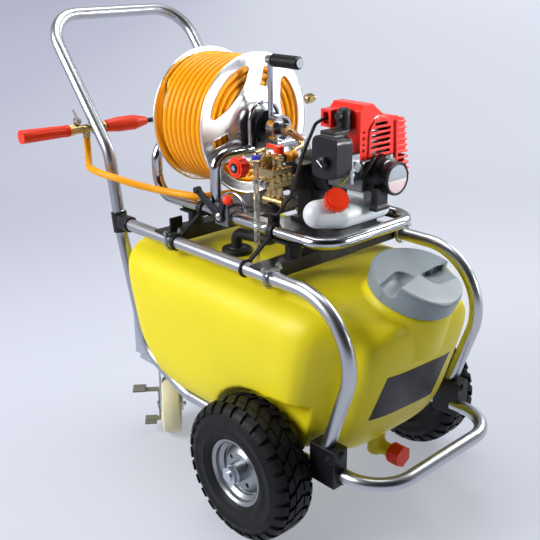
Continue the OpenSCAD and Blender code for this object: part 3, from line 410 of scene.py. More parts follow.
class Form:
    """Points and faces gathered from simple solids, which are given in cart millimetres."""

    def __init__(self):
        self.points, self.faces = [], []

    def add(self, points, faces):
        start = len(self.points)
        self.points += [at(*p) for p in points]
        self.faces += [tuple(i + start for i in f) for f in faces]
        return self

    def rings(self, rings, closed=False):
        """Skin over rings of equal count, joined in a loop or closed at both ends."""
        count, sides = len(rings), len(rings[0])
        faces = []
        for i in range(count if closed else count - 1):
            a, b = i * sides, (i + 1) % count * sides
            for k in range(sides):
                j = (k + 1) % sides
                faces.append((a + k, b + k, b + j, a + j))
        if not closed:
            faces.append(tuple(range(sides)))
            faces.append(tuple(range(count * sides - 1, (count - 1) * sides - 1, -1)))
        return self.add([p for ring in rings for p in ring], faces)

    def slab(self, top, low, row, under=False):
        """Joins two like grids of points, whose rows are row long, round their rim."""
        count, faces = len(top), []
        for start in range(0, count - row, row):
            for k in range(start, start + row - 1):
                faces.append((k, k + row, k + row + 1, k + 1))
                if under:
                    faces.append(tuple(corner + count for corner in reversed(faces[-1])))
        rim = [*range(row), *range(2 * row - 1, count, row)]
        rim += [count - 1 - k for k in rim[1:-1]]
        faces += [(a, b, b + count, a + count) for a, b in zip(rim, rim[1:] + rim)]
        return self.add(top + low, faces)

    def lathe(self, profile, centre, axis, steps, closed=False):
        """Turns a profile of (radius, height along axis) about an axis through centre."""
        z = Vector(axis).normalized()
        x = z.cross(Vector(UP) if abs(z.z) < 0.9 else Vector(RIGHT)).normalized()
        y = z.cross(x)
        turns = [math.tau * k / steps for k in range(steps)]
        return self.rings([[Vector(centre) + z * h + (x * math.cos(a) + y * math.sin(a)) * r
                            for a in turns] for r, h in profile], closed)

    def tube(self, path, radius, sides, closed=False):
        path = [Vector(p) for p in path]
        count = len(path)
        rings, side = [], None
        for i, p in enumerate(path):
            after = path[(i + 1) % count] if closed or i < count - 1 else p
            before = path[i - 1] if closed or i else p
            way = (after - before).normalized()
            if side is None:
                side = way.cross(Vector(UP) if abs(way.z) < 0.9 else Vector(BACK))
            side = (side - way * side.dot(way)).normalized()
            up = side.cross(way)
            rings.append([p + (side * math.cos(a) + up * math.sin(a)) * radius
                          for a in (math.tau * k / sides for k in range(sides))])
        return self.rings(rings, closed)

    def block(self, low, high):
        (a, b, c), (d, e, f) = low, high
        points = [(x, y, z) for x in (a, d) for y in (b, e) for z in (c, f)]
        faces = [(0, 1, 3, 2), (4, 6, 7, 5), (0, 4, 5, 1), (2, 3, 7, 6), (0, 2, 6, 4),
                 (1, 5, 7, 3)]
        return self.add(points, faces)

    def hexagon(self, centre, axis, across, height):
        r = across / math.sqrt(3)
        c = r * 0.93
        return self.lathe([(c, 0), (r, height * 0.12), (r, height * 0.85), (c, height)],
                          centre, axis, 6)

    def piece(self, name, look, body="chassis", replaces=(), slot=None, bevel=0):
        mesh = bpy.data.meshes.new(name)
        mesh.from_pydata(self.points, [], self.faces)
        mesh.update()
        work = bmesh.new()
        work.from_mesh(mesh)
        bmesh.ops.recalc_face_normals(work, faces=work.faces)
        if bevel:
            edges = [e for e in work.edges
                     if len(e.link_faces) == 2 and e.calc_face_angle() > math.radians(30)]
            bmesh.ops.bevel(work, geom=edges, offset=bevel * MM, segments=2, profile=0.6,
                            affect="EDGES", clamp_overlap=True)
        work.to_mesh(mesh)
        work.free()
        mesh.shade_smooth()
        mesh.set_sharp_from_angle(angle=SHARP)
        return keep_piece(name, mesh, look, body, replaces, slot)


def apply_modifiers(piece):
    """Gives a piece the mesh that its modifiers make, smooth and in the same material."""
    graph = bpy.context.evaluated_depsgraph_get()
    mesh = bpy.data.meshes.new_from_object(piece.evaluated_get(graph))
    piece.modifiers.clear()
    old, piece.data = piece.data, mesh
    name, material = old.name, old.materials[0]
    bpy.data.meshes.remove(old)
    mesh.name = name
    mesh.materials.clear()
    mesh.materials.append(material)
    mesh.shade_smooth()


def melt(piece, voxel, soften):
    """Joins overlapping solids into one skin and rounds its edges; voxel in millimetres."""
    remesh = piece.modifiers.new("mould", "REMESH")
    remesh.mode, remesh.voxel_size, remesh.use_smooth_shade = "VOXEL", voxel * MM, True
    if soften:
        soft = piece.modifiers.new("soft", "SMOOTH")
        soft.factor, soft.iterations = 0.5, soften
    apply_modifiers(piece)


def trim(name, look, *solids, **options):
    """A small piece of a few solids, each a method of Form and what it is given."""
    form = Form()
    for build, *given in solids:
        build(form, *given)
    form.piece(name, look, **options)


# ---------- tank ----------

# (length, half width or height) along the tank, from its nose to its rear
TANK_HALF = [(-172, 128), (-132, 142), (-120, 148), (-110, 160), (-98, 180), (-85, 201),
             (-70, 213), (-50, 217), (330, 217), (360, 211), (390, 196)]
TANK_LOW = [(-172, 158), (-132, 150), (240, 150), (300, 162), (340, 190), (390, 214)]
TANK_HIGH = [(-172, 408), (-132, 420), (-100, 436), (-78, 448), (-55, 452), (390, 452)]
TANK_ENDS, TANK_ROUND = (-172.0, 390.0), 40
NOSE_ROUND, REAR_ROUND = (-132, 41), (352, 39.5)  # where an end rounds off, over how much
NOSE_LEAN, REAR_LEAN = (0.3, 250, -20, 110), (0.285, 300, 290, 80)
SQUARE = 4.5  # power of the rounded square that the section is
AXLE_Z = 130
WELL_FROM, WELL_Z, WELL_IN, WELL_BLEND = -110, 172, 138, 18  # the underside's raised sides
WELL_RISE, WELL_FOOT = 0.408, (255, 168)  # and their climb to the rear
SIDE_LOW, SIDE_STEP = 180, 37  # half width under the panel's lip, and the lip's step
ARCH_R, ARCH_BLEND = 127, 14  # the side panel ends round the wheel with a soft lip
SHELF_Z, SHELF_END, SHELF_DROP, SHELF_BLEND = 262, -5, 10, 45  # and level in front of it
LIP_CORNER, LIP_BEND = (-97, 316), 54
NECK, NECK_TILT = (0, -169.6, 476), math.radians(20.8)
NECK_AXIS = (0, -math.sin(NECK_TILT), math.cos(NECK_TILT))
# profile, foot, axis and sides of the neck, the bosses of both hoses, the sump and its spigot
TANK_TURNED = [
    ([(86, -120), (83, -96), (81.5, -70), (79, -50), (75.5, -36), (73, -34), (66, -34),
      (66, -17.5), (60, -17.5), (60, -120)], NECK, NECK_AXIS, 96),
    ([(34, 440), (33, 448), (31, 453), (28, 453)], (-95, 183, 0), UP, 48),
    ([(15, 436), (14, 449), (13, 453)], (-136, 80, 0), UP, 32),
    ([(22, 162), (18, 152), (17, 140), (17, 103), (12, 101)], (0, -96, 0), UP, 40),
    ([(13, -52), (13, -6), (12, -3), (12, 0)], (0, -148, 118), FRONT, 32)]


def ease(t):
    t = max(0.0, min(1.0, t))
    return t * t * (3 - 2 * t)


def between(a, b, t):
    return tuple(p + (q - p) * t for p, q in zip(a, b))


def curve(table, v):
    """A smooth curve through a table's knots, without overshoot."""
    def secant(i):
        return (table[i + 1][1] - table[i][1]) / (table[i + 1][0] - table[i][0])

    def slope(i):
        if i == 0 or i == len(table) - 1:
            return secant(0 if i == 0 else i - 1)
        a, b = secant(i - 1), secant(i)
        return 0.0 if a * b <= 0 else 2 * a * b / (a + b)

    i = 0
    while i < len(table) - 2 and v >= table[i + 1][0]:
        i += 1
    h = table[i + 1][0] - table[i][0]
    u = max(0.0, min(1.0, (v - table[i][0]) / h))
    return (table[i][1] * (2 * u**3 - 3 * u * u + 1) + table[i + 1][1] * (3 * u * u - 2 * u**3)
            + h * (slope(i) * (u**3 - 2 * u * u + u) + slope(i + 1) * (u**3 - u * u)))


def round_off(past, over):
    return 1.0 if past <= 0 else max(0.0, 1 - (past / over) ** 3) ** (1 / 3)


def lean(s, z):
    """Where along the cart a length of the tank lies at a height: both its ends slope."""
    slope, middle, start, over = NOSE_LEAN
    y = s - slope * (z - middle) * ease((start - s) / over)
    slope, middle, start, over = REAR_LEAN
    return y + slope * (z - middle) * ease((s - start) / over)


def panel_depth(y, z):
    """How far inside the side panel's lower lip a place lies, in mm."""
    round_wheel = math.hypot(y, z - AXLE_Z) - ARCH_R
    if y >= SHELF_END:
        return round_wheel
    level = z - SHELF_Z + SHELF_DROP * (1 - ease((SHELF_END - y) / SHELF_BLEND))
    if y < LIP_CORNER[0] and z < LIP_CORNER[1]:
        level = LIP_BEND - math.hypot(y - LIP_CORNER[0], z - LIP_CORNER[1])
    return min(round_wheel, level)


def tank_point(s, a):
    """A point of the tank's skin at length s and angle a."""
    end = round_off(NOSE_ROUND[0] - s, NOSE_ROUND[1]) * round_off(s - REAR_ROUND[0], REAR_ROUND[1])
    low, high = curve(TANK_LOW, s), curve(TANK_HIGH, s)
    out = end * (abs(math.cos(a)) ** SQUARE + abs(math.sin(a)) ** SQUARE) ** (-1 / SQUARE)
    x = curve(TANK_HALF, s) * out * math.cos(a)
    z = (low + high) / 2 + (high - low) / 2 * out * math.sin(a)
    if s >= WELL_FROM:
        roof = max(WELL_Z, WELL_FOOT[1] + WELL_RISE * (lean(s, z) - WELL_FOOT[0]))
        z = max(z, low + (roof - low) * ease((abs(x) - WELL_IN) / WELL_BLEND))
    y = lean(s, z)
    side = SIDE_LOW + SIDE_STEP * ease(panel_depth(y, z) / ARCH_BLEND)
    return math.copysign(min(abs(x), side), x), y, z


def tank_stations(steps, round_steps):
    """Lengths that crowd together where the ends round off."""
    low, high = TANK_ENDS
    body = [low + TANK_ROUND + (high - low - 2 * TANK_ROUND) * i / steps for i in range(steps + 1)]
    ends = [TANK_ROUND * (1 - math.cos(math.pi / 2 * i / round_steps)) for i in range(round_steps)]
    return [low + c for c in ends] + body + [high - c for c in reversed(ends)]


def make_tank():
    form, sides = Form(), 144
    form.rings([[tank_point(s, math.tau * k / sides) for k in range(sides)]
                for s in tank_stations(84, 14)])
    for solid in TANK_TURNED:
        form.lathe(*solid)
    melt(form.piece("tank_shell", "tank_shell", replaces=("tank",)), 3.2, 6)


CAP_R, CAP_H = 80, 32
CAP_PROFILE = [(0.05, 0), (76, 0), (78.6, -0.9), (CAP_R, -3.4), (78.5, -CAP_H), (66.5, -CAP_H),
               (66.5, -17), (0.05, -17)]
CAP_WALLS = {-2: 7, 194: 12}  # direction of a grip wall: depth of its finger hollow
RAMP_SLOPE, RAMP_TURN = math.tan(math.radians(9.5)), math.radians(-18)
RAMP_SOFT, RAMP_SAG, RAMP_R, RAMP_EDGE, RAMP_FOOT = 2.4, (0.25, 70, 9), 79.2, 76, -12
HOLLOW_X = (8, 9, 11, 14, 18, 22, 26, 50, 90)
HOLLOW_FULL, HOLLOW_REACH, CUT_TOP = 18, 32, 24
VOIDS, VOID_IN, VOID_OUT, VOID_LOW = ((20, 36, 1.2), (41, 68, 4.6)), -1, 13, -9
RIDGES, RIDGE_STEP, RIDGE_R = (165, 345), 3.6, 78.9  # middles of both groups, in degrees


def ramp_height(x, y):
    """Height of a cap ramp over the disc, in its own frame, flat first and then rising."""
    rise = (x * math.cos(RAMP_TURN) + y * math.sin(RAMP_TURN)) * RAMP_SLOPE
    soft = (rise + math.hypot(rise, RAMP_SOFT)) / 2
    share, start, over = RAMP_SAG
    return soft * (1 - share * ease((math.hypot(x, y) - start) / over))


def cap_ramp(form, turn):
    around, out = 72, 26
    top, low = [], []
    for a in (math.pi * i / around for i in range(around + 1)):
        for r in (0.05 + RAMP_R * j / out for j in range(out + 1)):
            x, y = r * math.cos(a), r * math.sin(a)
            drop = 0.5 * max(0.0, r - RAMP_EDGE) ** 1.5
            top.append(turn @ Vector((x, y, ramp_height(x, y) - drop)))
            low.append(turn @ Vector((x, y, RAMP_FOOT)))
    form.slab(top, low, out + 1, under=True)


def cap_hollow(form, turn, depth):
    """Cutters for the finger hollow before a grip wall and the two voids under its grip."""
    steps, deep = 12, depth >= 10
    rings = []
    for x in HOLLOW_X:
        into = min(HOLLOW_FULL, x - HOLLOW_X[0])
        full = math.sqrt(into / HOLLOW_FULL)
        reach = HOLLOW_REACH * math.sqrt(1 - ((HOLLOW_FULL - into) / (HOLLOW_FULL + 0.5)) ** 2)
        ring = [(x, 0.01, CUT_TOP), (x, -reach, CUT_TOP)]
        for k in range(steps + 1):
            a = math.pi * k / steps
            fall = math.sin(a) ** 0.55 if deep else math.sin(a / 2) ** 0.7
            if deep and k == steps:
                fall = 0.75
            ring.append((x, -reach * (1 + math.cos(a)) / 2, 0.6 - (depth + 0.6) * full * fall))
        rings.append([turn @ Vector(p) for p in ring + [(x, 0.01, 0)]])
    form.rings(rings)
    for x0, x1, top in VOIDS:
        corners = [(x0, VOID_IN), (x1, VOID_IN), (x1, VOID_OUT), (x0, VOID_OUT)]
        form.rings([[turn @ Vector((x, y, z)) for x, y in corners] for z in (VOID_LOW, top)])


def make_cap():
    form, tools = Form(), Form()
    form.lathe(CAP_PROFILE, (0, 0, 0), UP, 128, closed=True)
    for angle, depth in CAP_WALLS.items():
        turn = Matrix.Rotation(math.radians(angle), 3, "Z")
        cap_ramp(form, turn)
        cap_hollow(tools, turn, depth)
    for a in (math.radians(middle + i * RIDGE_STEP) for middle in RIDGES for i in range(-3, 4)):
        form.lathe([(1.4, -28), (1.7, -26), (1.7, -6), (1.0, -4.6)],
                   (RIDGE_R * math.cos(a), RIDGE_R * math.sin(a), 0), UP, 12)
    cap = form.piece("filler_cap_top", "cap_plastic", "filler_cap", ("tank_cap",))
    cutter = tools.piece("cap_cutter", "cap_plastic", "filler_cap")
    melt(cutter, 0.7, 0)
    melt(cap, 0.9, 0)
    cut = cap.modifiers.new("hollows", "BOOLEAN")
    cut.operation, cut.solver, cut.object = "DIFFERENCE", "EXACT", cutter
    apply_modifiers(cap)
    bpy.data.objects.remove(cutter)
    melt(cap, 1.0, 4)
    cap.data.transform(Matrix.Translation(at(*NECK)) @ Matrix.Rotation(NECK_TILT, 4, "X")
                       @ Matrix.Translation(-at(0, 0, 0)))


# corners of the label as (across, height), left and right, and how far it stands out and in
LABEL_TOP, LABEL_LOW = ((-92, 325), (81, 314)), ((-103, 236), (70, 223))
LABEL_OUT, LABEL_IN = 0.7, 1.5


def nose_y(x, z):
    """How far forward the tank's nose reaches at a place, found along its own skin."""
    for s in [TANK_ENDS[0] + 0.5 * i for i in range(120)]:
        half, low, high = curve(TANK_HALF, s), curve(TANK_LOW, s), curve(TANK_HIGH, s)
        end = round_off(NOSE_ROUND[0] - s, NOSE_ROUND[1])
        if end <= 0.02:
            continue
        u = abs(x) / (half * end)
        v = abs(z - (low + high) / 2) / ((high - low) / 2 * end)
        if u**SQUARE + v**SQUARE <= 1:
            break
    return lean(s, z)


def make_label():
    """A bare dark panel that follows the nose."""
    across, down = 24, 14
    points = [between(between(*LABEL_TOP, i / across), between(*LABEL_LOW, i / across), j / down)
              for j in range(down + 1) for i in range(across + 1)]
    nose = [nose_y(x, z) for x, z in points]
    skin, back = ([(x, y + off, z) for (x, z), y in zip(points, nose)]
                  for off in (-LABEL_OUT, LABEL_IN))
    Form().slab(skin, back, across + 1).piece("nose_label", "label", slot="tank_shell")


# ---------- wheels ----------

WHEEL_X = 234
CARCASS = [(57, 22), (58, 30), (60, 32.5), (63, 33.4), (66, 36.5), (70, 39.6), (76, 41.4),
           (77.5, 42.6), (79.5, 42.6), (81, 42), (90, 42.5), (97, 42.4), (98.5, 43.2),
           (100.5, 43.2), (102, 42.2), (108, 41), (113, 38.6), (118, 35), (121.5, 30),
           (124, 22), (125.2, 12), (125.6, 0)]  # (radius, half width)
TREAD = [(130, 0), (130, 12), (129.3, 22), (127, 31), (122, 37.5), (114, 41.8), (106, 43)]
LUGS, BLOCK_ROOT, BLOCK_FLARE = 28, 5.2, 0.006
# from and to across the tread, from and to along it in shares of the pitch, and slant
BLOCKS = [(way * w0, way * w1, a0 + way / 4, a1 + way / 4, way * slant)
          for way in (-1, 1) for w0, w1, a0, a1, slant in
          ((25, 49, 0.0, 0.62, 0.0008), (11, 23, 0.34, 1.02, 0.004))]
BLOCKS.append((-8, 8.5, 0.0, 0.72, 0.006))


def tread_point(w, lift):
    """Radius and half width at a distance w from the crown along the tread."""
    side = 1 if w >= 0 else -1
    left = abs(w)
    for (r0, h0), (r1, h1) in zip(TREAD, TREAD[1:]):
        step = math.hypot(r1 - r0, h1 - h0)
        if left <= step or (r1, h1) == TREAD[-1]:
            r, h = between((r0, h0), (r1, h1), left / step)
            return r - (h1 - h0) / step * lift, side * (h + (r1 - r0) / step * lift)
        left -= step


def tread_block(form, hub, side, w0, w1, a0, a1, slant):
    """One rubber block between two places across the tread and two angles."""
    steps = max(2, round(abs(w1 - w0) / 4))
    low, high = [], []
    for w in (w0 + (w1 - w0) * i / steps for i in range(steps + 1)):
        for k in range(3):
            a = a0 + (a1 - a0) * k / 2 + slant * (w - w0)
            for rows, lift, grow in ((low, BLOCK_ROOT, BLOCK_FLARE), (high, 0.0, 0.0)):
                r, h = tread_point(w, lift)
                b = a + grow * (k - 1)
                rows.append((hub[0] + side * h, hub[1] + r * math.cos(b),
                             hub[2] + r * math.sin(b)))
    form.slab(high, low, 3)


def make_tyre(side, name):
    hub, pitch = (side * WHEEL_X, 0, AXLE_Z), math.tau / LUGS
    form = Form()
    section = CARCASS + [(r, -h) for r, h in reversed(CARCASS[:-1])]
    form.lathe(section, hub, RIGHT, 112, closed=True)
    for i in range(LUGS):
        for w0, w1, a0, a1, slant in BLOCKS:
            tread_block(form, hub, side, w0, w1, (i + a0) * pitch, (i + a1) * pitch, slant)
    form.piece(f"tyre_{name}_tread", "tyre", f"wheel_{name}", (f"tyre_{name}",))


# ---------- reel ----------

REEL = (0, 0, 678)
REEL_FRONT, REEL_REAR, SHEET = 230.3, 377.2, 2
WOUND_R, WOUND_PITCH, WOUND_RINGS = 119.5, 14.5, 211
WOUND_FROM, WOUND_TURN = 215, 24  # its first angle, and its rings in one turn
WOUND_Y = REEL_FRONT + SHEET + 8.2
DIP_R = 22
INNER_Y, INNER_DROP, INNER_STEP, INNER_LAYERS = 7.1, 14.3, 14.2, 5


def wound_angle(i):
    return math.radians(WOUND_FROM + i * 360 / WOUND_TURN)


def wound_point(i):
    a = wound_angle(i)
    y = min(WOUND_Y + WOUND_PITCH * i / WOUND_TURN, REEL_REAR - SHEET - HOSE_D / 2 - 0.1)
    return Vector((WOUND_R * math.cos(a), y, REEL[2] + WOUND_R * math.sin(a)))


def wound_dip(i, way, turn):
    """Where the hose dives between the layers at either end of the outer one."""
    a, turn = wound_angle(i), math.radians(turn)
    out = Vector((math.cos(a), 0, math.sin(a)))
    along = Vector((-math.sin(a), 0, math.cos(a))) * way
    return wound_point(i) + along * DIP_R * math.sin(turn) - out * DIP_R * (1 - math.cos(turn))


def make_wound_hose():
    end = WOUND_RINGS
    path = [wound_dip(0, -1, q) for q in range(90, 0, -10)]
    path += [wound_point(i / 2) for i in range(2 * end + 1)]
    path += [wound_dip(end, 1, q) for q in range(10, 91, 10)]
    outer = Form().tube(path, HOSE_D / 2 - 0.05, 18)
    outer.piece("hose_outer_layer", "hose", "reel", ("wound_hose",))
    inner, turns = Form(), 72
    for y in (REEL_FRONT + SHEET + INNER_Y, REEL_REAR - SHEET - INNER_Y):
        for r in (WOUND_R - INNER_DROP - layer * INNER_STEP for layer in range(INNER_LAYERS)):
            inner.tube([(r * math.cos(a), y, REEL[2] + r * math.sin(a))
                        for a in (math.tau * k / turns for k in range(turns))],
                       HOSE_D / 2 - 0.1, 14, closed=True)
    inner.lathe([(30, 0), (111, 0), (111, 128), (30, 128)],
                (0, REEL_FRONT + SHEET + 7.5, REEL[2]), BACK, turns, closed=True)
    inner.piece("hose_inner_layers", "hose", "reel", ("hose_pack",))


WINDOW_ANGLES, SLOT_ANGLES = (14, 134, 254), (74, 194, 314)
LENS_IN, LENS_OUT, LENS_X, LENS_BEND = 114, 149, 220, 9  # the two circles of a window
SLOT_FROM, SLOT_TO, SLOT_HALF, SLOT_BEND = 66, 110, 8, 5
CHEEK_R, CHEEK_EDGE, RIM_R, RIM_TUBE = 133.6, 0.35, 133, 2.05
LIP_OUT, LIP_R = 0.4, 1.3
DISH = [(72, -0.4), (66, 0.1), (61, 1.2), (57, 3.0), (52, 4.4), (44, 5.2), (38, 5.5), (9.2, 5.5),
        (9.2, -0.6), (72, -0.6)]
DRUM = [(30, 0), (30, 143), (9.2, 143), (9.2, 0)]
RIVET = [(4.2, 4.0), (4.2, 5.6), (3.5, 6.6), (2.0, 6.6), (1.6, 5.9), (0.4, 5.9)]
RIVETS, RIVET_RING, RIVET_FROM = 6, 47, 14


def arc(centre, radius, start, end, steps):
    """Points on an arc, angles in degrees."""
    angles = [math.radians(start + (end - start) * i / steps) for i in range(steps + 1)]
    return [(centre[0] + radius * math.cos(a), centre[1] + radius * math.sin(a)) for a in angles]


def lens_outline(inset):
    """A window between two circles, its two tips rounded."""
    a, b, bend = LENS_IN - inset, LENS_OUT - inset, LENS_BEND
    x = (LENS_X**2 + (a - bend)**2 - (b - bend)**2) / (2 * LENS_X)
    y = math.sqrt((a - bend)**2 - x * x)
    outer = math.degrees(math.atan2(y, x))
    inner = math.degrees(math.atan2(y, x - LENS_X))
    return (arc((0, 0), a, -outer, outer, 24) + arc((x, y), bend, outer, inner, 8)[1:]
            + arc((LENS_X, 0), b, inner, 360 - inner, 24)[1:]
            + arc((x, -y), bend, -inner, -outer, 8)[1:-1])


def slot_outline(inset):
    x0, x1 = SLOT_FROM + inset + SLOT_BEND, SLOT_TO - inset - SLOT_BEND
    y = SLOT_HALF - inset - SLOT_BEND
    centres = ((x1, y), (x0, y), (x0, -y), (x1, -y))
    return [p for i, centre in enumerate(centres)
            for p in arc(centre, SLOT_BEND, 90 * i, 90 * i + 90, 6)]


def windows(inset=0.0):
    """The openings of a cheek, each outline grown or shrunk all round."""
    loops = []
    for outline, angles in ((lens_outline, WINDOW_ANGLES), (slot_outline, SLOT_ANGLES)):
        for a in map(math.radians, angles):
            c, s = math.cos(a), math.sin(a)
            loops.append([(x * c - y * s, x * s + y * c) for x, y in outline(inset)])
    return loops


def cheek_sheet():
    """A flat sheet with its windows and softly rounded edges."""
    data = bpy.data.curves.new("sheet", "CURVE")
    data.dimensions, data.fill_mode = "2D", "BOTH"
    data.extrude, data.bevel_depth = (SHEET / 2 - CHEEK_EDGE) * MM, CHEEK_EDGE * MM
    data.bevel_resolution, data.offset = 2, -CHEEK_EDGE * MM
    for loop in [arc((0, 0), CHEEK_R, 0, 360, 144)[:-1]] + windows():
        spline = data.splines.new("POLY")
        spline.points.add(len(loop) - 1)
        for point, (x, y) in zip(spline.points, loop):
            point.co = (x * MM, y * MM, 0, 1)
        spline.use_cyclic_u = True
    holder = put("sheet", data)
    graph = bpy.context.evaluated_depsgraph_get()
    mesh = bpy.data.meshes.new_from_object(holder.evaluated_get(graph))
    bpy.data.objects.remove(holder)
    bpy.data.curves.remove(data)
    return mesh


def make_flange(side, name):
    """A pressed aluminium cheek: windowed sheet, rolled rim and a lip round each window."""
    y = REEL_FRONT + SHEET / 2 if side < 0 else REEL_REAR - SHEET / 2
    mesh = cheek_sheet()
    mesh.transform(Matrix.Translation(at(0, y, REEL[2])) @ Matrix.Rotation(math.pi / 2, 4, "X"))
    form = Form()
    form.points = [v.co.copy() for v in mesh.vertices]
    form.faces = [tuple(f.vertices) for f in mesh.polygons]
    bpy.data.meshes.remove(mesh)
    face = y + side * SHEET / 2
    for loop in windows(-LIP_OUT):
        form.tube([(u, face - side * 0.5, REEL[2] + v) for u, v in loop], LIP_R, 8, closed=True)
    form.lathe(arc((RIM_R, 0), RIM_TUBE, 0, 360, 14)[:-1], (0, y, REEL[2]), BACK, 144,
               closed=True)
    if side < 0:
        form.lathe(DISH, (0, face, REEL[2]), FRONT, 96, closed=True)
    else:
        form.lathe(DRUM, (0, REEL_FRONT + SHEET, REEL[2]), BACK, 48, closed=True)
    form.piece(f"reel_cheek_{name}", "flange", "reel", (f"reel_flange_{name}",))


def make_rivets():
    ring = arc((0, 0), RIVET_RING, RIVET_FROM, RIVET_FROM + 360, RIVETS)[:-1]
    trim("hub_rivets", "bright_steel",
         *((Form.lathe, RIVET, (x, REEL_FRONT, REEL[2] + z), FRONT, 20) for x, z in ring),
         body="reel", slot="flange")


# ---------- cast and moulded parts ----------

# name of the piece: (CAD node, voxel in mm, softening, body where not the chassis)
MOULDED = {
    "cylinder_shroud": ("cylinder_cover", 1.0, 3),
    "muffler_shroud": ("muffler_guard", 0.7, 2),
    "air_filter_shell": ("air_filter_case", 1.0, 9),
    "starter_shell": ("starter_cover", 0.9, 4),
    "engine_casting": ("engine_block", 1.3, 2),
    "carburettor_body": ("carburettor", 0.8, 2),
    "clamp_castings": ("frame_clamps", 1.0, 5),
    "saddle_castings": ("axle_saddles", 1.0, 4),
    "coupling_casting": ("coupling_housing", 1.0, 3),
    "pump_casting": ("pump_crankcase", 1.0, 3),
    "manifold_casting": ("pump_manifold", 0.6, 2),
    "brake_pedal_left": ("caster_brake_left", 0.6, 4, "brake_left"),
    "brake_pedal_right": ("caster_brake_right", 0.6, 4, "brake_right"),
    "throttle_shell": ("throttle_lever", 0.6, 3, "throttle"),
}


def make_moulded():
    """Parts that are castings or mouldings: their CAD form with its edges rounded."""
    look_of = {name: look for look, names in LOOKS.items() for name in names.split()}
    for name, (node, voxel, soften, *body) in MOULDED.items():
        mesh = NODES[node].data.copy()
        mesh.transform(NODES[node].matrix_world)
        mesh.materials.clear()
        piece = keep_piece(name, mesh, look_of[node], *body, replaces=(node,))
        melt(piece, voxel, soften)


# ---------- engine ----------

STARTER = (25, -92, 625)
BEZEL = [(25, 0), (28.2, 0), (29, 1.4), (29, 5.4), (28.4, 7), (27.6, 7.4), (27, 6.4)]
BADGE = [(0.5, 7.2), (12, 7.1), (20, 6.8), (26.2, 6.2), (27.2, 4.5)]
GUARD_RIBS, GUARD_LOW, GUARD_STEP = 10, 610.6, 10.7
GUARD_X, GUARD_FOOT, GUARD_SLANT = 121, 598, 1 / 6  # its front corner leans back
FILTER_KNOB = [(11.5, 0), (11.5, 7.5), (10.5, 10), (8.5, 11.4), (0.5, 11.6)]
JET = [(5.6, 0), (5.6, 3), (4.4, 4), (4.4, 7), (5.6, 8), (5.6, 11)]


def guard_rib(z):
    x = GUARD_X - (z - GUARD_FOOT) * GUARD_SLANT
    return [(78, -50.5, z + 1), (x - 9, -50.5, z + 1), (x - 3, -49.5, z),
            (x + 0.5, -46, z - 1.5), (x + 1.5, -38, z - 2), (x + 1.5, 6, z - 2)]


def make_engine_trim():
    """Starter's bezel and blank badge, guard ribs, filter knob, links of the carburettor."""
    trim("starter_bezel", "black_plastic", (Form.lathe, BEZEL, STARTER, FRONT, 72))
    trim("starter_badge", "badge", (Form.lathe, BADGE, STARTER, FRONT, 72), slot="flange")
    trim("muffler_guard_ribs", "red_cover",
         *((Form.tube, guard_rib(GUARD_LOW + GUARD_STEP * i), 2.3, 10) for i in range(GUARD_RIBS)),
         (Form.tube, [(78, -50, 606), (77, -50, 640), (73, -50, 713)], 4.2, 12))
    trim("filter_knob", "black_plastic",
         (Form.lathe, FILTER_KNOB, (-95, -42, 664), LEFT, 40))
    trim("carburettor_links", "bright_steel",
         (Form.tube, [(-107.2, -36, 668.5), (-107.2, -42, 663.7), (-107.2, -48, 659)], 1.4, 10),
         (Form.tube, [(-51, -60, 669), (-49, -61, 646), (-47, -60, 622.5)], 3.0, 12),
         (Form.lathe, JET, (-49, -60, 636), UP, 24), slot="cast_alloy")
    line = [(-53, -56, 641), (-58, -58, 634), (-66, -57, 629), (-70, -52, 622)]
    trim("fuel_line", "olive", (Form.tube, line, 2.2, 12), slot="clear_hose")
    trim("choke_rod", "black_plastic",
         (Form.tube, [(5, -64, 662), (-12, -65, 645), (-29, -64, 627)], 3.4, 12))


FUEL_BALLS = [((-99, -30, 574), 24), ((-62, -50, 567), 21), ((-62, -22, 566), 20),
              ((34, -51, 566), 20), ((34, -21, 566), 20)]
FUEL_NECK, FUEL_SLOPE, FUEL_TURN = (-80, -56, 600), math.radians(43), math.radians(-28)


def make_fuel_tank():
    """The blow-moulded fuel tank: a hull of five balls, softened, and its neck."""
    work = bmesh.new()
    for centre, r in FUEL_BALLS:
        bmesh.ops.create_uvsphere(work, u_segments=28, v_segments=18, radius=r * MM,
                                  matrix=Matrix.Translation(at(*centre)))
    hull = bmesh.ops.convex_hull(work, input=work.verts)
    loose = [v for v in hull["geom_interior"] + hull["geom_unused"]
             if isinstance(v, bmesh.types.BMVert)]
    bmesh.ops.delete(work, geom=loose, context="VERTS")
    mesh = bpy.data.meshes.new("fuel_tank_shell")
    work.to_mesh(mesh)
    work.free()
    shell = keep_piece("fuel_tank_shell", mesh, "fuel_tank_shell", replaces=("fuel_tank",))
    melt(shell, 1.8, 10)
    across, up = math.sin(FUEL_TURN), math.cos(FUEL_TURN)
    axis = (math.cos(FUEL_SLOPE) * across, -math.sin(FUEL_SLOPE), math.cos(FUEL_SLOPE) * up)
    trim("fuel_tank_neck", "fuel_tank_shell",
         (Form.lathe, [(13, -22), (13, 1.6), (10, 1.6)], FUEL_NECK, axis, 40),
         (Form.block, (-10, -54, 575), (40, -16, 601)), bevel=0.8)


# ---------- throttle, hoses and pump ----------

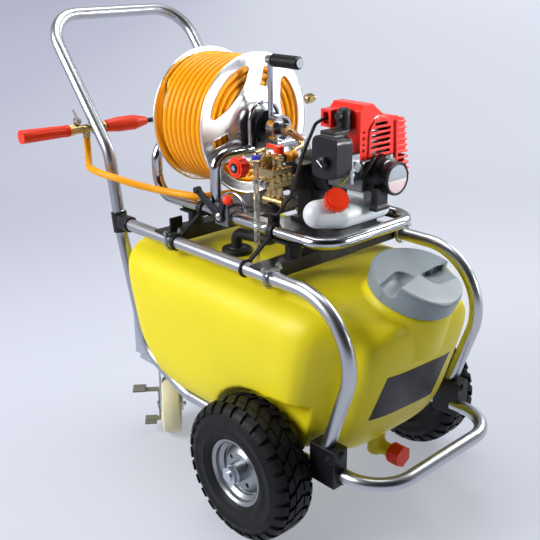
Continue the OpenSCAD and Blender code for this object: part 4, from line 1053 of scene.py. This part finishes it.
BUTTON = [(4, 0), (8.6, 0), (9, 2), (9, 11), (7.6, 14), (4, 15)]
BUTTON_AXIS = (-0.55, -0.35, 0.3)
BOW = [(-130, 150 + 34 * math.cos(a), 552 + 30 * math.sin(a))
       for a in (math.pi * k / 16 for k in range(17))]
PIVOT = [(7.5, 0), (7.5, 1.2), (5.2, 2.2), (5.2, 3.6), (3.6, 4.6), (0.3, 4.6)]
SUCTION = [(-95, 80, 571), (-95, 80, 500), (-95, 183, 492), (-95, 183, 459)]
SUCTION_R, SUCTION_BEND = 10.7, 18
SUCTION_CAP = [(0.5, 0), (27, 0), (28.8, 1), (28.8, 8), (27.6, 9.8), (17, 10.2), (15, 13),
               (0.5, 13)]
COLLAR = [(10, 0), (12, 0.4), (12, 4.6), (10, 5)]
FEED_FROM, FEED_TO = Vector((0, 140, 678)), Vector((29, 124, 651))
SLEEVE = [(8.2, 0), (8.8, 1), (8.8, 12), (8.2, 13), (8.2, 15), (8.8, 16), (8.8, 27), (8.2, 28)]
CLIP = [(5.2, 0), (7.4, 0.6), (7.4, 8), (5.2, 9)]
PUMP_Y = (72, 85, 98)  # its three cylinders
KNOB = (-170, 98, 643)
WASHER = [(4.9, -0.4), (8.6, -0.4), (9.0, 0.6), (8.4, 1.6), (4.9, 1.6)]


def filleted(points, radius):
    """A path through points with its corners turned on an arc."""
    points, steps = [Vector(p) for p in points], 8
    path = [points[0]]
    for before, corner, after in zip(points, points[1:], points[2:]):
        u, v = (before - corner).normalized(), (after - corner).normalized()
        half = u.angle(v) / 2
        centre = corner + (u + v).normalized() * radius / math.sin(half)
        start = (corner + u * radius / math.tan(half) - centre).normalized()
        end = (corner + v * radius / math.tan(half) - centre).normalized()
        path += [centre + start.slerp(end, k / steps) * radius for k in range(steps + 1)]
    return path + [points[-1]]


def make_throttle_trim():
    trim("throttle_button", "red_plastic",
         (Form.lathe, BUTTON, (-133, 158, 566), BUTTON_AXIS, 32))
    trim("throttle_guard", "chrome", (Form.tube, BOW, 2.2, 12))
    trim("throttle_pivot", "chrome", (Form.lathe, PIVOT, (-141, 180, 533), LEFT, 28))


def make_hoses():
    """Rubber over the suction elbow and its cap, and the coloured feed hoses."""
    trim("suction_hose_cover", "rubber",
         (Form.tube, filleted(SUCTION, SUCTION_BEND), SUCTION_R, 24),
         (Form.lathe, SUCTION_CAP, (-95, 183, 452.6), UP, 56),
         *((Form.lathe, COLLAR, (-95, 80, z), UP, 32) for z in (556, 566)))
    way = (FEED_TO - FEED_FROM).normalized()
    trim("feed_hose_cover", "copper",
         (Form.tube, [FEED_FROM + way * d for d in (9, 13, 20, 27, 33)], 7.5, 24), slot="hose")
    trim("quick_connector", "hose", (Form.lathe, SLEEVE, (-50, 100, 642), RIGHT, 28))


def make_pump_trim():
    """Clip on the clear return hose, knob centre, valve caps and plated nuts of the pump."""
    trim("hose_clip", "blue", (Form.lathe, CLIP, (-136, 80, 655), UP, 24),
         (Form.block, (-139, 70, 657), (-133, 75, 662)), slot="red_plastic", bevel=0.6)
    trim("pump_valve_caps", "brass",
         *(solid for y in PUMP_Y for solid in (
             (Form.hexagon, (-88, y, 647), UP, 13, 6),
             (Form.lathe, [(3.2, 0), (3.2, 4), (2.4, 5)], (-88, y, 653), UP, 20))))
    trim("pump_plated_nuts", "bright_steel",
         *(solid for y in PUMP_Y for solid in (
             (Form.hexagon, (-119, y, 611), LEFT, 9, 5),
             (Form.lathe, [(3, 0), (3, 3), (2, 4), (0.3, 4)], (-124, y, 611), LEFT, 20))))
    trim("knob_washer", "black_metal", (Form.lathe, WASHER, KNOB, LEFT, 36),
         body="regulator")
    trim("knob_screw", "bright_steel",
         (Form.lathe, [(4.4, -3), (4.4, 2.0), (3.4, 3.2), (0.3, 3.6)], KNOB, LEFT, 28),
         body="regulator")


# ---------- putting it together ----------

make_camera()
make_materials()
make_free_hose()
make_tank()
make_cap()
make_label()
make_tyre(-1, "left")
make_tyre(1, "right")
make_wound_hose()
make_flange(-1, "front")
make_rivets()
make_flange(1, "rear")
make_moulded()
make_engine_trim()
make_fuel_tank()
make_throttle_trim()
make_hoses()
make_pump_trim()
make_floor()
make_world()
make_lamps()
SCENE.view_settings.view_transform = "Standard"
dress_nodes()
